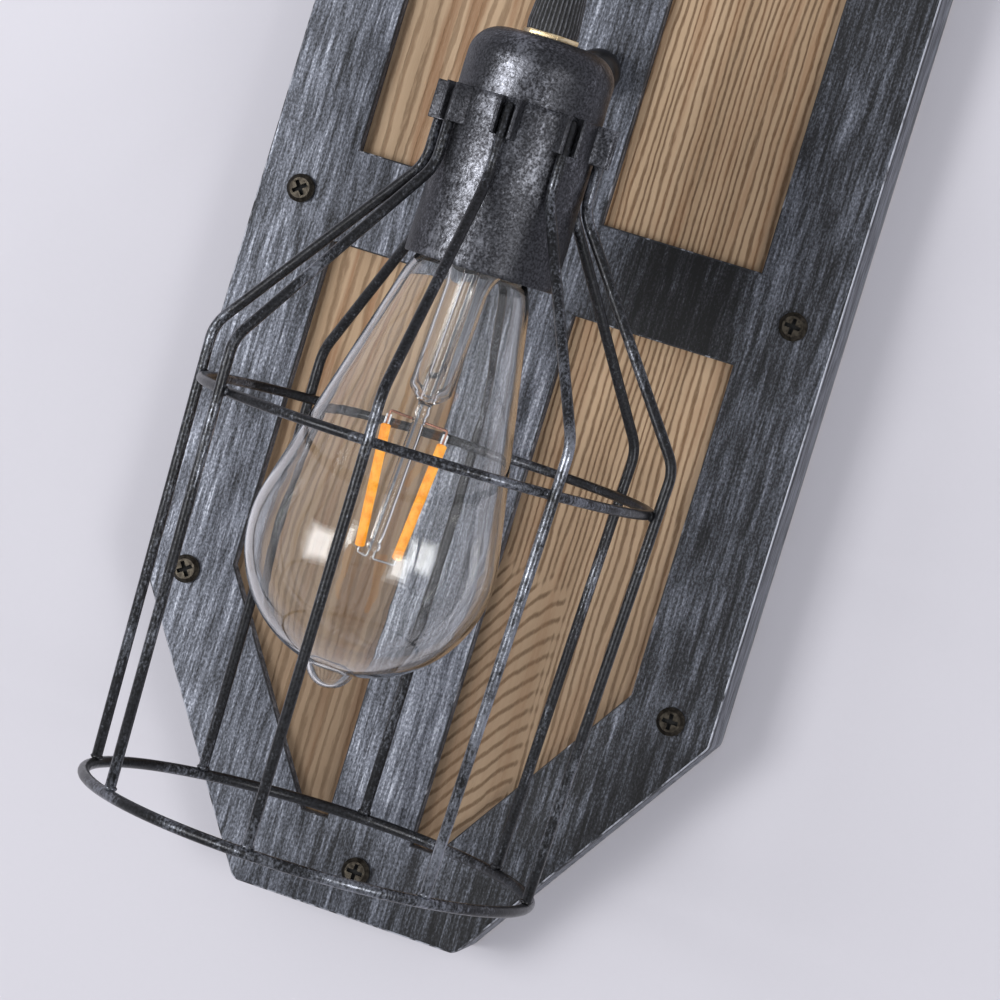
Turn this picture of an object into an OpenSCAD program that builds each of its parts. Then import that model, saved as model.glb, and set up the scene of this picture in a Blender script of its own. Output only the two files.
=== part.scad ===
// Wall light: a wooden board with a grey overlay frame, and a caged bulb holder that hangs
// in front of it from a swan-neck arm. Millimetres. The wall is the plane y = 0, the front
// faces -y, z is up, and the origin is the centre of the board's back face.

/* [Board] */
// Width of the board across its straight sides
board_w = 164; // [150:1:200]
// Height of the board from its bottom end to its top end
board_h = 374; // [360:1:440]
// Height between the corners where the straight sides end
side_h = 225; // [210:1:240]
// Width of the flat end at the bottom and at the top
end_w = 65; // [50:1:90]
// Radius of the board's corners, seen from the front
corner_r = 3; // [1:0.5:6]
// Thickness of the wood
wood_t = 18; // [17:1:24]
// Thickness of the grey overlay
overlay_t = 4; // [3:0.5:6]
// Width of the overlay's border
border_w = 24.3; // [20:0.1:28]
// Width of the overlay's upright bar
centre_bar_w = 24.5; // [23:0.5:30]
// Height of the overlay's cross bar
cross_bar_h = 25.7; // [20:0.1:32]

/* [Board screws] */
// Radius of a screw's head
screw_head_r = 3.9; // [3:0.1:4.5]
// Height of a screw's head
screw_head_h = 2.2; // [1.5:0.1:3]
// Radius of a screw's shank
screw_r = 1.8; // [1.4:0.1:2]
// Length of a board screw under its head
screw_len = 16; // [12:1:18]
// Width of the cross recess in a screw's head
recess_w = 1.1; // [0.6:0.1:1.2]
// Length of the cross recess
recess_len = 4.4; // [3:0.1:5]
// Depth of the cross recess
recess_depth = 1.2; // [0.8:0.1:1.3]
// Distance of the side screws from the board's edge
screw_inset = 11.8; // [9:0.1:14]
// Height of the corner screws above and below the middle
corner_screw_z = 108.6; // [95:0.1:109]
// How much lower the left screws sit than the places opposite the right ones
left_screw_drop = 1.6; // [0:0.1:3]
// How far the right middle screw sits above the cross bar's middle
right_screw_rise = 1.6; // [0:0.1:3]
// Distance of the end screws from the board's ends
end_screw_inset = 12.8; // [10:0.1:16]

/* [Wall bracket] */
// Height of the bracket's middle above the board's middle
bracket_z = 101.3; // [98:0.1:106]
// Width of the bracket's strap
strap_w = 22; // [20:1:30]
// Length of the bracket's strap
strap_len = 128; // [122:1:130]
// Thickness of the strap
strap_t = 2.5; // [1.5:0.1:3]
// Distance between the holes for the wall screws
wall_hole_spacing = 64; // [50:1:74]
// Radius of the holes for the wall screws
wall_hole_r = 2.6; // [2:0.1:3.2]
// Radius of the hole in the strap for the house cable
cable_hole_r = 7; // [5:0.5:8]
// Distance between the two studs
stud_spacing = 100; // [95:1:102]
// Radius of a stud
stud_r = 2.5; // [2:0.1:3]
// Radius of a ball nut
ball_r = 6.3; // [5.5:0.1:8]
// How far a ball nut's centre stands in front of the overlay
ball_centre = 4.6; // [3.5:0.1:5]
// How far a stud reaches into its ball nut
stud_grip = 7.5; // [6:0.1:7.8]
// Width of the pocket in the back of the wood
pocket_w = 64; // [40:1:80]
// Gap between the pocket's ends and the strap
pocket_gap = 4; // [3:0.5:8]
// Depth of the pocket
pocket_depth = 12; // [11:0.5:14]

/* [Terminal block] */
// Width of the terminal block
block_w = 20; // [16:1:30]
// Height of the terminal block
block_h = 14; // [12:1:20]
// Thickness of the terminal block
block_t = 7.8; // [6:0.1:8]
// How far the terminal block's top lies below the bracket's middle
block_drop = 17.3; // [15:0.1:20]
// Distance between the two poles of the terminal block
pole_spacing = 9; // [7:0.5:10]
// Distance between the two screws of one pole
pole_screw_spacing = 7; // [6:0.5:8]
// Radius of a terminal screw's head
terminal_head_r = 1.6; // [1.2:0.1:2]
// Radius of a terminal screw's shank
terminal_shank_r = 1.2; // [0.8:0.1:1.2]
// How far a terminal screw's head stands out
terminal_head_h = 0.8; // [0.5:0.1:1.2]
// Height of the earth screw above the bracket's middle
earth_screw_rise = 18; // [14:1:22]
// Radius of the earth screw's shank
earth_screw_r = 2; // [1.5:0.1:2.4]
// Radius of the earth screw's head
earth_head_r = 3.5; // [3:0.1:4]

/* [Arm] */
// Width of the arm's foot plate
plate_w = 22; // [20:1:24]
// Height of the foot plate
plate_h = 54; // [50:1:58]
// Thickness of the foot plate
plate_t = 3; // [2:0.5:4]
// Distance between the foot plate's two screws
plate_screw_spacing = 38; // [34:1:40]
// Radius of the arm's tube
arm_r = 6; // [5.5:0.1:7]
// Wall of the arm's tube
arm_wall = 1.5; // [1:0.1:2]
// How far the arm's root reaches into the board
arm_root = 9; // [6:0.5:9.5]
// How far the arm's upright stands in front of the overlay
arm_reach = 24; // [23:0.5:30]
// Bend radius at the arm's root
root_bend_r = 16; // [14:0.5:17]
// Height of the arm's highest centre line above the bracket's middle
arm_rise = 62.7; // [60:0.1:70]
// Height of the arm's open end above the bracket's middle
mouth_rise = 22.7; // [20:0.1:28]
// Radius of the bushing on the arm's end
bushing_r = 7.6; // [7.2:0.1:9]
// How far the bushing reaches up the tube
bushing_overlap = 6; // [4:0.5:8]
// How far the bushing reaches below the tube
bushing_drop = 6; // [5.5:0.1:8]
// Widest radius of the bushing's bell mouth
bell_r = 5.5; // [5.4:0.1:6]

/* [Lamp position] */
// Distance of the lamp's axis from the front of the overlay
lamp_reach = 71.6; // [70:0.1:84]

/* [Cord] */
// Radius of the cord that carries the lamp
cord_r = 3.1; // [2.8:0.1:3.2]
// Length of the cord between its two bending points
cord_len = 42.9; // [40:0.1:60]
// Radius of one insulated conductor of the cord
lead_r = 0.7; // [0.5:0.1:0.8]
// Bend radius of a conductor
lead_bend_r = 3; // [2:0.5:3.5]

/* [Cord grip and nut] */
// Height of the cord grip
grip_h = 26.4; // [24:0.1:30]
// Radius of the cord grip at its foot
grip_foot_r = 6.95; // [6.6:0.05:8]
// Radius of the cord grip at its top
grip_top_r = 4.8; // [4.7:0.05:5.6]
// How far the cord's bending point lies below the grip's top
grip_pivot_drop = 1.5; // [1.2:0.1:2]
// Radius of the threaded nipple
nipple_r = 5; // [4.6:0.1:5.2]
// Radius of the nipple's bore
nipple_bore_r = 3.4; // [3.2:0.1:3.6]
// How far the nipple reaches into the grip
nipple_top_len = 7.4; // [5:0.1:9]
// How far the nipple reaches below the cap's ceiling
nipple_drop = 6; // [4:0.1:6.2]
// Distance across the corners of the brass nut
nut_corners = 15.3; // [14:0.1:17]
// Thickness of the brass nut
nut_t = 1.5; // [1.2:0.1:2.5]
// Turn of the brass nut about the lamp's axis
nut_turn = -5; // [-30:1:30]
// Thickness of the lock nut inside the cap
lock_nut_t = 3; // [2:0.1:4]

/* [Holder] */
// Height of the cap's top above the crossing bar's middle
cap_top_z = 52.7; // [52:0.1:54]
// Radius of the cap
cap_r = 19.1; // [18.8:0.1:19.7]
// Height of the cap above the collar
cap_h = 17.1; // [16:0.1:20]
// Radius of the cap's shoulder
cap_shoulder_r = 8; // [6:0.1:10]
// Thickness of the cap's top
cap_top_t = 2; // [1.2:0.1:2.5]
// Wall of the cap's skirt
skirt_wall = 1; // [0.8:0.1:1.2]
// How far the cap's skirt reaches into the collar
skirt_len = 18.4; // [12:0.1:24]
// Height of the porcelain insert
insert_h = 43.6; // [42:0.1:46]
// Depth of the insert's bore for the bulb's base
insert_bore_depth = 25.5; // [24:0.1:27]
// How far the insert's foot lies above the collar's foot
insert_lift = 5.1; // [4.6:0.1:6]
// Radius of the thread shell, outside
shell_r = 15.1; // [15:0.1:15.4]
// Wall of the thread shell
shell_wall = 0.4; // [0.3:0.05:0.4]
// Height of the thread shell
shell_h = 20; // [16:0.5:22]
// Distance of a terminal screw of the insert from the axis
insert_screw_x = 9; // [8:0.1:11]
// Radius of a terminal screw's head on the insert
insert_head_r = 2.8; // [2.4:0.1:3.2]
// Height of a terminal screw's head on the insert
insert_head_h = 1.6; // [1.2:0.1:2]
// Radius of a terminal screw's shank in the insert
insert_screw_r = 1.25; // [1:0.05:1.5]

/* [Cage] */
// Outer radius of the collar that carries the cage
collar_r = 19.8; // [19.8:0.1:21]
// Height of the collar
collar_h = 43.7; // [40:0.1:46]
// Wall of the collar
collar_wall = 1; // [0.8:0.1:1]
// Number of upright wires
wire_count = 8; // [6:1:10]
// Radius of an upright wire
wire_r = 1.4; // [1:0.1:1.6]
// Height of a wire's straight top end
wire_top_len = 20.2; // [14:0.1:21]
// Radius of the cage at the wires' shoulders
shoulder_r = 62.5; // [58:0.1:64]
// Depth of the shoulders below the collar's foot
shoulder_drop = 32.9; // [28:0.1:38]
// Bend radius of the wires below the collar
collar_bend_r = 12; // [8:0.5:14]
// Bend radius of the wires at the shoulders
shoulder_bend_r = 11; // [8:0.5:14]
// Radius of the circle on which the wires' feet stand
foot_r = 59.2; // [56:0.1:62]
// Depth of the wires' feet below the collar's foot
foot_drop = 148.5; // [140:0.5:160]
// Depth of the upper ring below the collar's foot
upper_ring_drop = 45.9; // [42:0.1:60]
// Radius of the upper ring's wire
upper_ring_wire_r = 1.3; // [1:0.1:1.6]
// Radius of the lower ring's wire
lower_ring_wire_r = 1.5; // [1.2:0.1:1.8]
// Thickness of one pressed rib beside a wire
rib_t = 1.2; // [0.8:0.1:1.5]
// How far the ribs stand out of the collar
rib_out = 4.4; // [4:0.1:6]
// Height of the ribs
rib_h = 10; // [8:0.5:16]

/* [Bulb] */
// Radius of the glass at its widest
glass_r = 32.4; // [28:0.1:33]
// Length of the bulb from its contact to the middle of its round end
bulb_ball_len = 104; // [101:0.5:106]
// Angle between the bulb's straight flank and its axis
flank_angle = 13.1; // [11:0.1:14]
// Thickness of the glass
glass_t = 0.8; // [0.5:0.1:1.2]
// Length from the contact to the end of the glass tip
bulb_len = 141; // [138:0.5:141.5]
// Radius of the glass tip
nib_r = 6.5; // [5:0.1:7]
// Lean of the bulb in its holder, its foot towards the left
bulb_lean = 3; // [0:0.5:3]
// Radius of the base at its thread crests
base_r = 13.2; // [12.8:0.1:13.2]
// Depth of the base's thread
base_thread_depth = 0.8; // [0.4:0.1:1]
// Pitch of the base's thread
base_pitch = 3.62; // [3:0.01:4]
// Wall of the base's shell
base_wall = 0.3; // [0.2:0.05:0.4]
// Length from the contact to the base's lower rim
base_len = 26.5; // [25:0.1:28]
// Radius of the contact on the bulb's base
contact_r = 4.7; // [4:0.1:5.2]
// Height of the contact
contact_h = 1.5; // [1.2:0.1:2]
// Height of the insulator between the contact and the shell
insulator_h = 4; // [3:0.1:5]

/* [Inside the bulb] */
// Radius of the glass stem
stem_r = 5.6; // [4.5:0.1:6.5]
// Wall of the glass stem
stem_wall = 0.7; // [0.5:0.1:1]
// Length from the contact to the stem's lower end
stem_len = 69.4; // [58:0.2:70]
// Length of the stem's pinched end
pinch_len = 5.4; // [3:0.1:7]
// Length over which the stem narrows to its pinched end
pinch_shoulder = 3.8; // [2.5:0.1:6]
// Radius of the exhaust tube in the stem
exhaust_r = 2.1; // [1.6:0.1:2.5]
// Radius of the clear rod between the filaments
rod_r = 1.7; // [0.8:0.1:2.1]
// Length from the contact to the rod's lower end
rod_len = 104; // [96:0.5:108]
// Radius of one filament
filament_r = 1.3; // [0.8:0.1:1.5]
// Length from the contact to the filaments' upper ends
filament_top = 72.4; // [70:0.1:76]
// Length from the contact to the filaments' lower ends
filament_bottom = 104; // [98:0.1:107]
// Distance of the filaments' upper ends from the axis
filament_top_x = 7.8; // [6:0.1:9]
// Distance of the filaments' lower ends from the axis
filament_bottom_x = 5.1; // [4:0.1:8]
// Sideways shift of the filaments' lower ends
filament_shift = 1.6; // [0:0.1:2]
// Radius of the thin wires inside the bulb
thin_wire_r = 0.35; // [0.25:0.05:0.5]

/* [Fits] */
// Gap between a piece and the curved face that carries it
fit_gap = 0.1; // [0.05:0.05:0.15]
// Gap between a loose piece and its hole
loose_gap = 0.3; // [0.25:0.05:0.35]

/* [Hidden] */
$fn = 48;

// Board, seen from the front: half sizes and the slope of its cut corners
half_w = board_w / 2;
half_h = board_h / 2;
half_side = side_h / 2;
cut_angle = atan2(half_w - end_w / 2, half_h - half_side);
board_t = wood_t + overlay_t;

// Lamp axis and heights
lamp_front = board_t + lamp_reach;
collar_top = cap_top_z - cap_h;
collar_foot = collar_top - collar_h;
insert_foot = collar_foot + insert_lift;
insert_top = insert_foot + insert_h;
insert_floor = insert_foot + insert_bore_depth;
skirt_r = collar_r - collar_wall - loose_gap;
insert_r = skirt_r - skirt_wall - fit_gap;
skirt_foot = collar_top - skirt_len;
cap_ceiling = cap_top_z - cap_top_t;
nut_top = cap_top_z + nut_t;
grip_top = nut_top + grip_h;
grip_pivot = grip_top - grip_pivot_drop;
nipple_foot = cap_ceiling - nipple_drop;
nipple_top = nut_top + nipple_top_len;
mouth_pivot = grip_pivot + cord_len;
mouth_z = bracket_z + mouth_rise;
pocket_h = strap_len + 2 * pocket_gap;
bushing_foot = mouth_z - bushing_drop;
arm_top_z = bracket_z + arm_rise;
arm_front = board_t + arm_reach;
arch_r = (lamp_front - arm_front) / 2;
block_top = bracket_z - block_drop;

// Cage
wire_axis_r = collar_r + loose_gap + wire_r;
wire_top_z = collar_top - 1.4;
wire_slope = (shoulder_r - foot_r) / (foot_drop - shoulder_drop);
upper_ring_z = collar_foot - upper_ring_drop;
upper_ring_r = shoulder_r - (upper_ring_drop - shoulder_drop) * wire_slope
    - wire_r - upper_ring_wire_r - fit_gap;
foot_z = collar_foot - foot_drop;
lower_ring_z = foot_z - lower_ring_wire_r;

// Bulb: the contact's top is the bulb's own origin, and its axis points up the lamp
contact_z = insert_floor - 2.5;
flank_turn_z = -bulb_ball_len + glass_r * sin(flank_angle);
neck_z = -base_len - 8.5;
pinch_r = rod_r + 2 * fit_gap;
feed_z = 0.6 - stem_len;
thin_bend_r = 0.5;

// ---- Shapes that repeat -------------------------------------------------------------

function unit(v) = v / norm(v);

// Signed turn at b on the way from a by b to c
function turn(a, b, c) =
    let (u = unit(b - a), v = unit(c - b))
    atan2(u.x * v.y - u.y * v.x, u * v);

// How much of the straight run next to corner i the bend there takes
function bend_trim(points, radii, i) =
    i == 0 || i == len(points) - 1 ? 0
    : radii[i - 1] * tan(abs(turn(points[i - 1], points[i], points[i + 1])) / 2);

// A straight round rod between two points of the xy plane
module straight_rod(a, b, r) {
    if (norm(b - a) > 0.01)
        translate(a)
        rotate([0, 0, atan2(b.y - a.y, b.x - a.x)])
        rotate([0, 90, 0])
        cylinder(h = norm(b - a), r = r);
}

// A round rod along points of the xy plane, with a bend radius for each inner point
module bent_rod(points, radii, r) {
    last = len(points) - 1;
    for (i = [0:last - 1]) {
        along = unit(points[i + 1] - points[i]);
        straight_rod(points[i] + along * bend_trim(points, radii, i),
            points[i + 1] - along * bend_trim(points, radii, i + 1), r);
    }
    for (i = [1:1:last - 1]) {
        bend = turn(points[i - 1], points[i], points[i + 1]);
        along = unit(points[i] - points[i - 1]);
        start = points[i] - along * bend_trim(points, radii, i);
        centre = start + sign(bend) * radii[i - 1] * [-along.y, along.x];
        from = atan2(start.y - centre.y, start.x - centre.x);
        translate(centre)
        rotate(bend > 0 ? from : from + bend)
        rotate_extrude(angle = abs(bend), $fn = 64)
        translate([radii[i - 1], 0]) circle(r);
    }
}

// Places along the same kind of path, as [x, y, heading], with each bend in steps
function path_stations(points, radii, steps) =
    let (last = len(points) - 1,
         heading = [for (i = [0:last - 1])
             atan2(points[i + 1].y - points[i].y, points[i + 1].x - points[i].x)])
    concat(
        [[points[0].x, points[0].y, heading[0]]],
        [for (i = [1:1:last - 1])
            let (bend = turn(points[i - 1], points[i], points[i + 1]),
                 start = points[i] - unit(points[i] - points[i - 1])
                     * bend_trim(points, radii, i),
                 left = [-sin(heading[i - 1]), cos(heading[i - 1])],
                 centre = start + sign(bend) * radii[i - 1] * left)
            for (k = [0:steps])
                let (h = heading[i - 1] + bend * k / steps)
                [centre.x + sign(bend) * radii[i - 1] * sin(h),
                 centre.y - sign(bend) * radii[i - 1] * cos(h), h]],
        [[points[last].x, points[last].y, heading[last - 1]]]);

// A thin wire swept along such a path, with flat sides
module swept_wire(points, radii, r, sides = 12, steps = 7) {
    stations = path_stations(points, radii, steps);
    last = len(stations) - 1;
    rings = [for (s = stations, k = [0:sides - 1])
        let (a = 360 * k / sides)
        [s.x - sin(s[2]) * r * cos(a), s.y + cos(s[2]) * r * cos(a), r * sin(a)]];
    sleeve = [for (i = [0:last - 1], k = [0:sides - 1])
        let (next = (k + 1) % sides)
        [i * sides + k, i * sides + next, (i + 1) * sides + next, (i + 1) * sides + k]];
    foot = [for (k = [sides - 1:-1:0]) k];
    head = [for (k = [0:sides - 1]) last * sides + k];
    polyhedron(points = rings, faces = concat([foot], sleeve, [head]), convexity = 4);
}

// Puts a drawing of distance from the wall against height into the middle plane
module side_plane() {
    rotate([90, 0, -90]) children();
}

// Puts a drawing of x against z where it belongs, at a distance from the wall
module front_plane(front) {
    translate([0, -front, 0]) rotate([90, 0, 0]) children();
}

// A cylinder that stands out from the wall, from one distance to another
module wall_pin(x, z, from, to, r) {
    translate([x, -from, z]) rotate([90, 0, 0]) cylinder(h = to - from, r = r);
}

// Moves a shape drawn about the z axis to the lamp's axis
module on_lamp_axis() {
    translate([0, -lamp_front, 0]) children();
}

// Turns a shape drawn against radius and height to one of the cage's wires
module at_wire(i) {
    on_lamp_axis()
    rotate([0, 0, i * 360 / wire_count - 90])
    rotate([90, 0, 0])
    children();
}

// Moves a shape drawn in the bulb's own frame into the leaning bulb
module in_bulb() {
    on_lamp_axis()
    translate([0, 0, contact_z])
    rotate([0, bulb_lean, 0])
    children();
}

// A ring or tube between two heights
module tube(from, to, outer, inner) {
    translate([0, 0, from])
    difference() {
        cylinder(h = to - from, r = outer);
        translate([0, 0, -1]) cylinder(h = to - from + 2, r = inner);
    }
}

// One corner of an outline, rounded by an arc
function corner_arc(a, b, c, r, steps = 6) =
    let (bend = turn(a, b, c),
         along = unit(b - a),
         start = b - along * r * tan(abs(bend) / 2),
         centre = start + sign(bend) * r * [-along.y, along.x],
         from = atan2(start.y - centre.y, start.x - centre.x))
    [for (i = [0:steps])
        centre + r * [cos(from + bend * i / steps), sin(from + bend * i / steps)]];

function rounded(points, r) =
    let (n = len(points))
    [for (i = [0:n - 1])
        each corner_arc(points[(i + n - 1) % n], points[i], points[(i + 1) % n], r)];

// The board's right lower corners, moved inwards by an inset
function side_corner(inset) = [half_w - inset, half_side - inset * tan(cut_angle / 2)];
function end_corner(inset) = [end_w / 2 - inset * tan((90 - cut_angle) / 2), half_h - inset];

board_outline = let (s = side_corner(0), e = end_corner(0))
    [[s.x, -s.y], [s.x, s.y], [e.x, e.y], [-e.x, e.y],
     [-s.x, s.y], [-s.x, -s.y], [-e.x, -e.y], [e.x, -e.y]];

// The right upper window of the overlay
window_outline = let (s = side_corner(border_w), e = end_corner(border_w))
    [[centre_bar_w / 2, cross_bar_h / 2], [s.x, cross_bar_h / 2], s, e,
     [centre_bar_w / 2, e.y]];

// Middles of the eight screws that hold the overlay, which were set by hand
screw_x = half_w - screw_inset;
overlay_screw_places = [
    for (z = [-corner_screw_z, 0, corner_screw_z]) [-screw_x, z - left_screw_drop],
    for (z = [-corner_screw_z, right_screw_rise, corner_screw_z]) [screw_x, z],
    for (z = [-1, 1]) [0, z * (half_h - end_screw_inset)]];
// Turn of each of their crosses, clockwise from the cross bar
overlay_screw_turns = [-35, -38, 12, 0, 5, -22, 2, 31];
plate_screw_turn = 40;
plate_screw_bite = 4;
plate_screw_places = [for (s = [-1, 1]) [0, bracket_z + s * plate_screw_spacing / 2]];
stud_places = [for (s = [-1, 1]) [0, bracket_z + s * stud_spacing / 2]];
wall_hole_places = [for (s = [-1, 1]) [0, bracket_z + s * wall_hole_spacing / 2]];

// A round-headed screw with a cross recess; its head rests at a distance from the wall
module board_screw(place, seat, length, turned = 0) {
    difference() {
        union() {
            wall_pin(place.x, place.y, seat - length, seat, screw_r);
            wall_pin(place.x, place.y, seat, seat + screw_head_h / 2, screw_head_r);
            translate([place.x, -seat - screw_head_h / 2, place.y])
            rotate([90, 0, 0])
            cylinder(h = screw_head_h / 2, r1 = screw_head_r, r2 = screw_head_r * 0.72);
        }
        translate([place.x, -seat - screw_head_h, place.y])
        rotate([90, turned, 0])
        for (a = [0, 90])
            rotate([0, 0, a])
            cube([recess_len, recess_w, 2 * recess_depth], center = true);
    }
}

// ---- Board --------------------------------------------------------------------------

module wood_board() {
    color("burlywood")
    difference() {
        front_plane(0) linear_extrude(wood_t) polygon(rounded(board_outline, corner_r));
        translate([-pocket_w / 2, -pocket_depth, bracket_z - pocket_h / 2])
            cube([pocket_w, pocket_depth + 1, pocket_h]);
        for (p = overlay_screw_places)
            wall_pin(p.x, p.y, board_t - screw_len - 1, wood_t + 1, screw_r + fit_gap);
        for (p = plate_screw_places)
            wall_pin(p.x, p.y, pocket_depth - 1, wood_t + 1, screw_r + fit_gap);
        for (p = stud_places)
            wall_pin(p.x, p.y, pocket_depth - 1, wood_t + 1, stud_r + loose_gap);
        wall_pin(0, bracket_z, pocket_depth - 1, wood_t + 1, arm_r + loose_gap);
    }
}

module overlay_frame() {
    color("slategray")
    difference() {
        front_plane(wood_t)
        linear_extrude(overlay_t)
        difference() {
            polygon(rounded(board_outline, corner_r));
            for (sx = [-1, 1], sz = [-1, 1])
                polygon([for (p = window_outline) [sx * p.x, sz * p.y]]);
        }
        for (p = overlay_screw_places)
            wall_pin(p.x, p.y, wood_t - 1, board_t + 1, screw_r + fit_gap);
        for (p = plate_screw_places)
            wall_pin(p.x, p.y, wood_t - 1, board_t + 1, screw_r + fit_gap);
        for (p = stud_places)
            wall_pin(p.x, p.y, wood_t - 1, board_t + 1, stud_r + loose_gap);
        wall_pin(0, bracket_z, wood_t - 1, board_t + 1, arm_r + loose_gap);
    }
}

module overlay_screws() {
    color("dimgray")
    for (i = [0:len(overlay_screw_places) - 1])
        board_screw(overlay_screw_places[i], board_t, screw_len, overlay_screw_turns[i]);
}

// ---- Wall bracket and wiring behind the board ------------------------------------------

module wall_bracket() {
    color("silver")
    difference() {
        translate([-strap_w / 2, -strap_t, bracket_z - strap_len / 2])
            cube([strap_w, strap_t, strap_len]);
        for (p = wall_hole_places)
            wall_pin(p.x, p.y, -1, strap_t + 1, wall_hole_r);
        for (p = stud_places)
            wall_pin(p.x, p.y, -1, strap_t + 1, stud_r + fit_gap);
        wall_pin(0, bracket_z, -1, strap_t + 1, cable_hole_r);
        wall_pin(0, bracket_z + earth_screw_rise, -1, strap_t + 1, earth_screw_r + fit_gap);
    }
}

module bracket_studs() {
    color("silver")
    for (p = stud_places)
        wall_pin(p.x, p.y, 0, board_t + stud_grip, stud_r);
}

// Half outline of a ball nut: its foot, its round side and its blind bore
ball_outline = let (from = -asin(ball_centre / ball_r), steps = 14)
    concat(
        [[stud_r + fit_gap, 0]],
        [for (i = [0:steps])
            let (a = from + (90 - from) * i / steps)
            [ball_r * cos(a), ball_centre + ball_r * sin(a)]],
        [[0, stud_grip + fit_gap], [stud_r + fit_gap, stud_grip + fit_gap]]);

module ball_nuts() {
    color("black")
    for (p = stud_places)
        translate([p.x, -board_t, p.y])
        rotate([90, 0, 0])
        rotate_extrude()
        polygon(ball_outline);
}

module terminal_block() {
    color("white")
    difference() {
        translate([-block_w / 2, -pocket_depth, block_top - block_h])
            cube([block_w, block_t, block_h]);
        for (p = terminal_screw_places)
            wall_pin(p.x, p.y, pocket_depth - block_t - 1, pocket_depth - 2,
                terminal_shank_r + fit_gap);
    }
}

terminal_screw_places = [
    for (sx = [-1, 1], sz = [-1, 1])
        [sx * pole_spacing / 2, block_top - block_h / 2 + sz * pole_screw_spacing / 2]];

module terminal_screws() {
    block_face = pocket_depth - block_t;
    color("gold")
    for (p = terminal_screw_places)
        difference() {
            union() {
                wall_pin(p.x, p.y, block_face - terminal_head_h, block_face, terminal_head_r);
                wall_pin(p.x, p.y, block_face, pocket_depth - 2.5, terminal_shank_r);
            }
            translate([p.x, -block_face + terminal_head_h, p.y])
                cube([3 * terminal_head_r, 0.8, 0.6], center = true);
        }
}

module earth_screw() {
    z = bracket_z + earth_screw_rise;
    color("gold")
    difference() {
        union() {
            wall_pin(0, z, 0, strap_t, earth_screw_r);
            wall_pin(0, z, strap_t, strap_t + screw_head_h, earth_head_r);
        }
        translate([0, -strap_t - screw_head_h, z])
            cube([3 * earth_head_r, 1.6, 0.9], center = true);
    }
}

// Two conductors that run from the cable's end down into the terminal block
module supply_leads() {
    lead_front = pocket_depth - block_t / 2;
    color("saddlebrown")
    for (s = [-1, 1])
        translate([s * (lead_r + 2 * fit_gap), 0, 0])
        side_plane()
        bent_rod([[pocket_depth, bracket_z], [lead_front, bracket_z],
            [lead_front, block_top]], [lead_bend_r], lead_r);
}

// ---- Arm ----------------------------------------------------------------------------

arm_path = [[board_t - arm_root, bracket_z], [arm_front, bracket_z],
    [arm_front, arm_top_z], [lamp_front, arm_top_z], [lamp_front, mouth_z]];
arm_bends = [root_bend_r, arch_r, arch_r];

module arm_plate() {
    end_z = (plate_h - plate_w) / 2;
    color("dimgray")
    difference() {
        union() {
            for (s = [-1, 1])
                wall_pin(0, bracket_z + s * end_z, board_t, board_t + plate_t, plate_w / 2);
            translate([-plate_w / 2, -board_t - plate_t, bracket_z - end_z])
                cube([plate_w, plate_t, 2 * end_z]);
        }
        for (p = plate_screw_places)
            wall_pin(p.x, p.y, board_t - 1, board_t + plate_t + 1, screw_r + fit_gap);
        wall_pin(0, bracket_z, board_t - 1, board_t + plate_t + 1, arm_r + fit_gap);
    }
}

module arm_plate_screws() {
    color("dimgray")
    for (p = plate_screw_places)
        board_screw(p, board_t + plate_t, plate_t + overlay_t + plate_screw_bite,
            plate_screw_turn);
}

module arm_tube() {
    bore_path = concat([arm_path[0] - [1, 0]], [for (i = [1:3]) arm_path[i]],
        [arm_path[4] - [0, 1]]);
    color("dimgray")
    difference() {
        side_plane() bent_rod(arm_path, arm_bends, arm_r);
        side_plane() bent_rod(bore_path, arm_bends, arm_r - arm_wall);
    }
}

// A bell-mouthed bushing over the arm's end, wide enough for the cord's swing
module arm_bushing() {
    throat_z = mouth_pivot + 1;
    throat_r = cord_r + loose_gap;
    color("black")
    on_lamp_axis()
    difference() {
        translate([0, 0, bushing_foot])
            cylinder(h = bushing_drop + bushing_overlap, r = bushing_r);
        translate([0, 0, mouth_z])
            cylinder(h = bushing_overlap + 1, r = arm_r + fit_gap);
        translate([0, 0, throat_z - 0.5])
            cylinder(h = mouth_z - throat_z + 1, r = throat_r);
        translate([0, 0, bushing_foot])
            cylinder(h = throat_z - bushing_foot, r1 = bell_r, r2 = throat_r);
        translate([0, 0, bushing_foot - 1]) cylinder(h = 1.5, r = bell_r);
    }
}

// The cable inside the arm, from the pocket to just above the swinging cord
module arm_cable() {
    cable_end = mouth_pivot + cord_r + loose_gap;
    color("black")
    side_plane()
    bent_rod(concat([[pocket_depth, bracket_z]], [for (i = [1:3]) arm_path[i]],
        [[lamp_front, cable_end]]), arm_bends, cord_r);
}

// ---- Cord ---------------------------------------------------------------------------

module drop_cord() {
    color("black")
    on_lamp_axis() {
        translate([0, 0, grip_pivot]) cylinder(h = cord_len, r = cord_r);
        for (z = [grip_pivot, mouth_pivot])
            translate([0, 0, z]) sphere(cord_r);
    }
}

// ---- Cord grip, nut and holder --------------------------------------------------------

module cord_grip() {
    throat_r = cord_r + loose_gap;
    color("black")
    on_lamp_axis()
    difference() {
        translate([0, 0, nut_top])
            cylinder(h = grip_h, r1 = grip_foot_r, r2 = grip_top_r);
        translate([0, 0, nut_top - 1])
            cylinder(h = nipple_top_len + 1 + fit_gap, r = nipple_r + fit_gap);
        translate([0, 0, nut_top])
            cylinder(h = grip_h - 2, r = throat_r);
        translate([0, 0, grip_top - 2.1])
            cylinder(h = 2.2, r1 = throat_r, r2 = grip_top_r - 0.7);
    }
}

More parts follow.
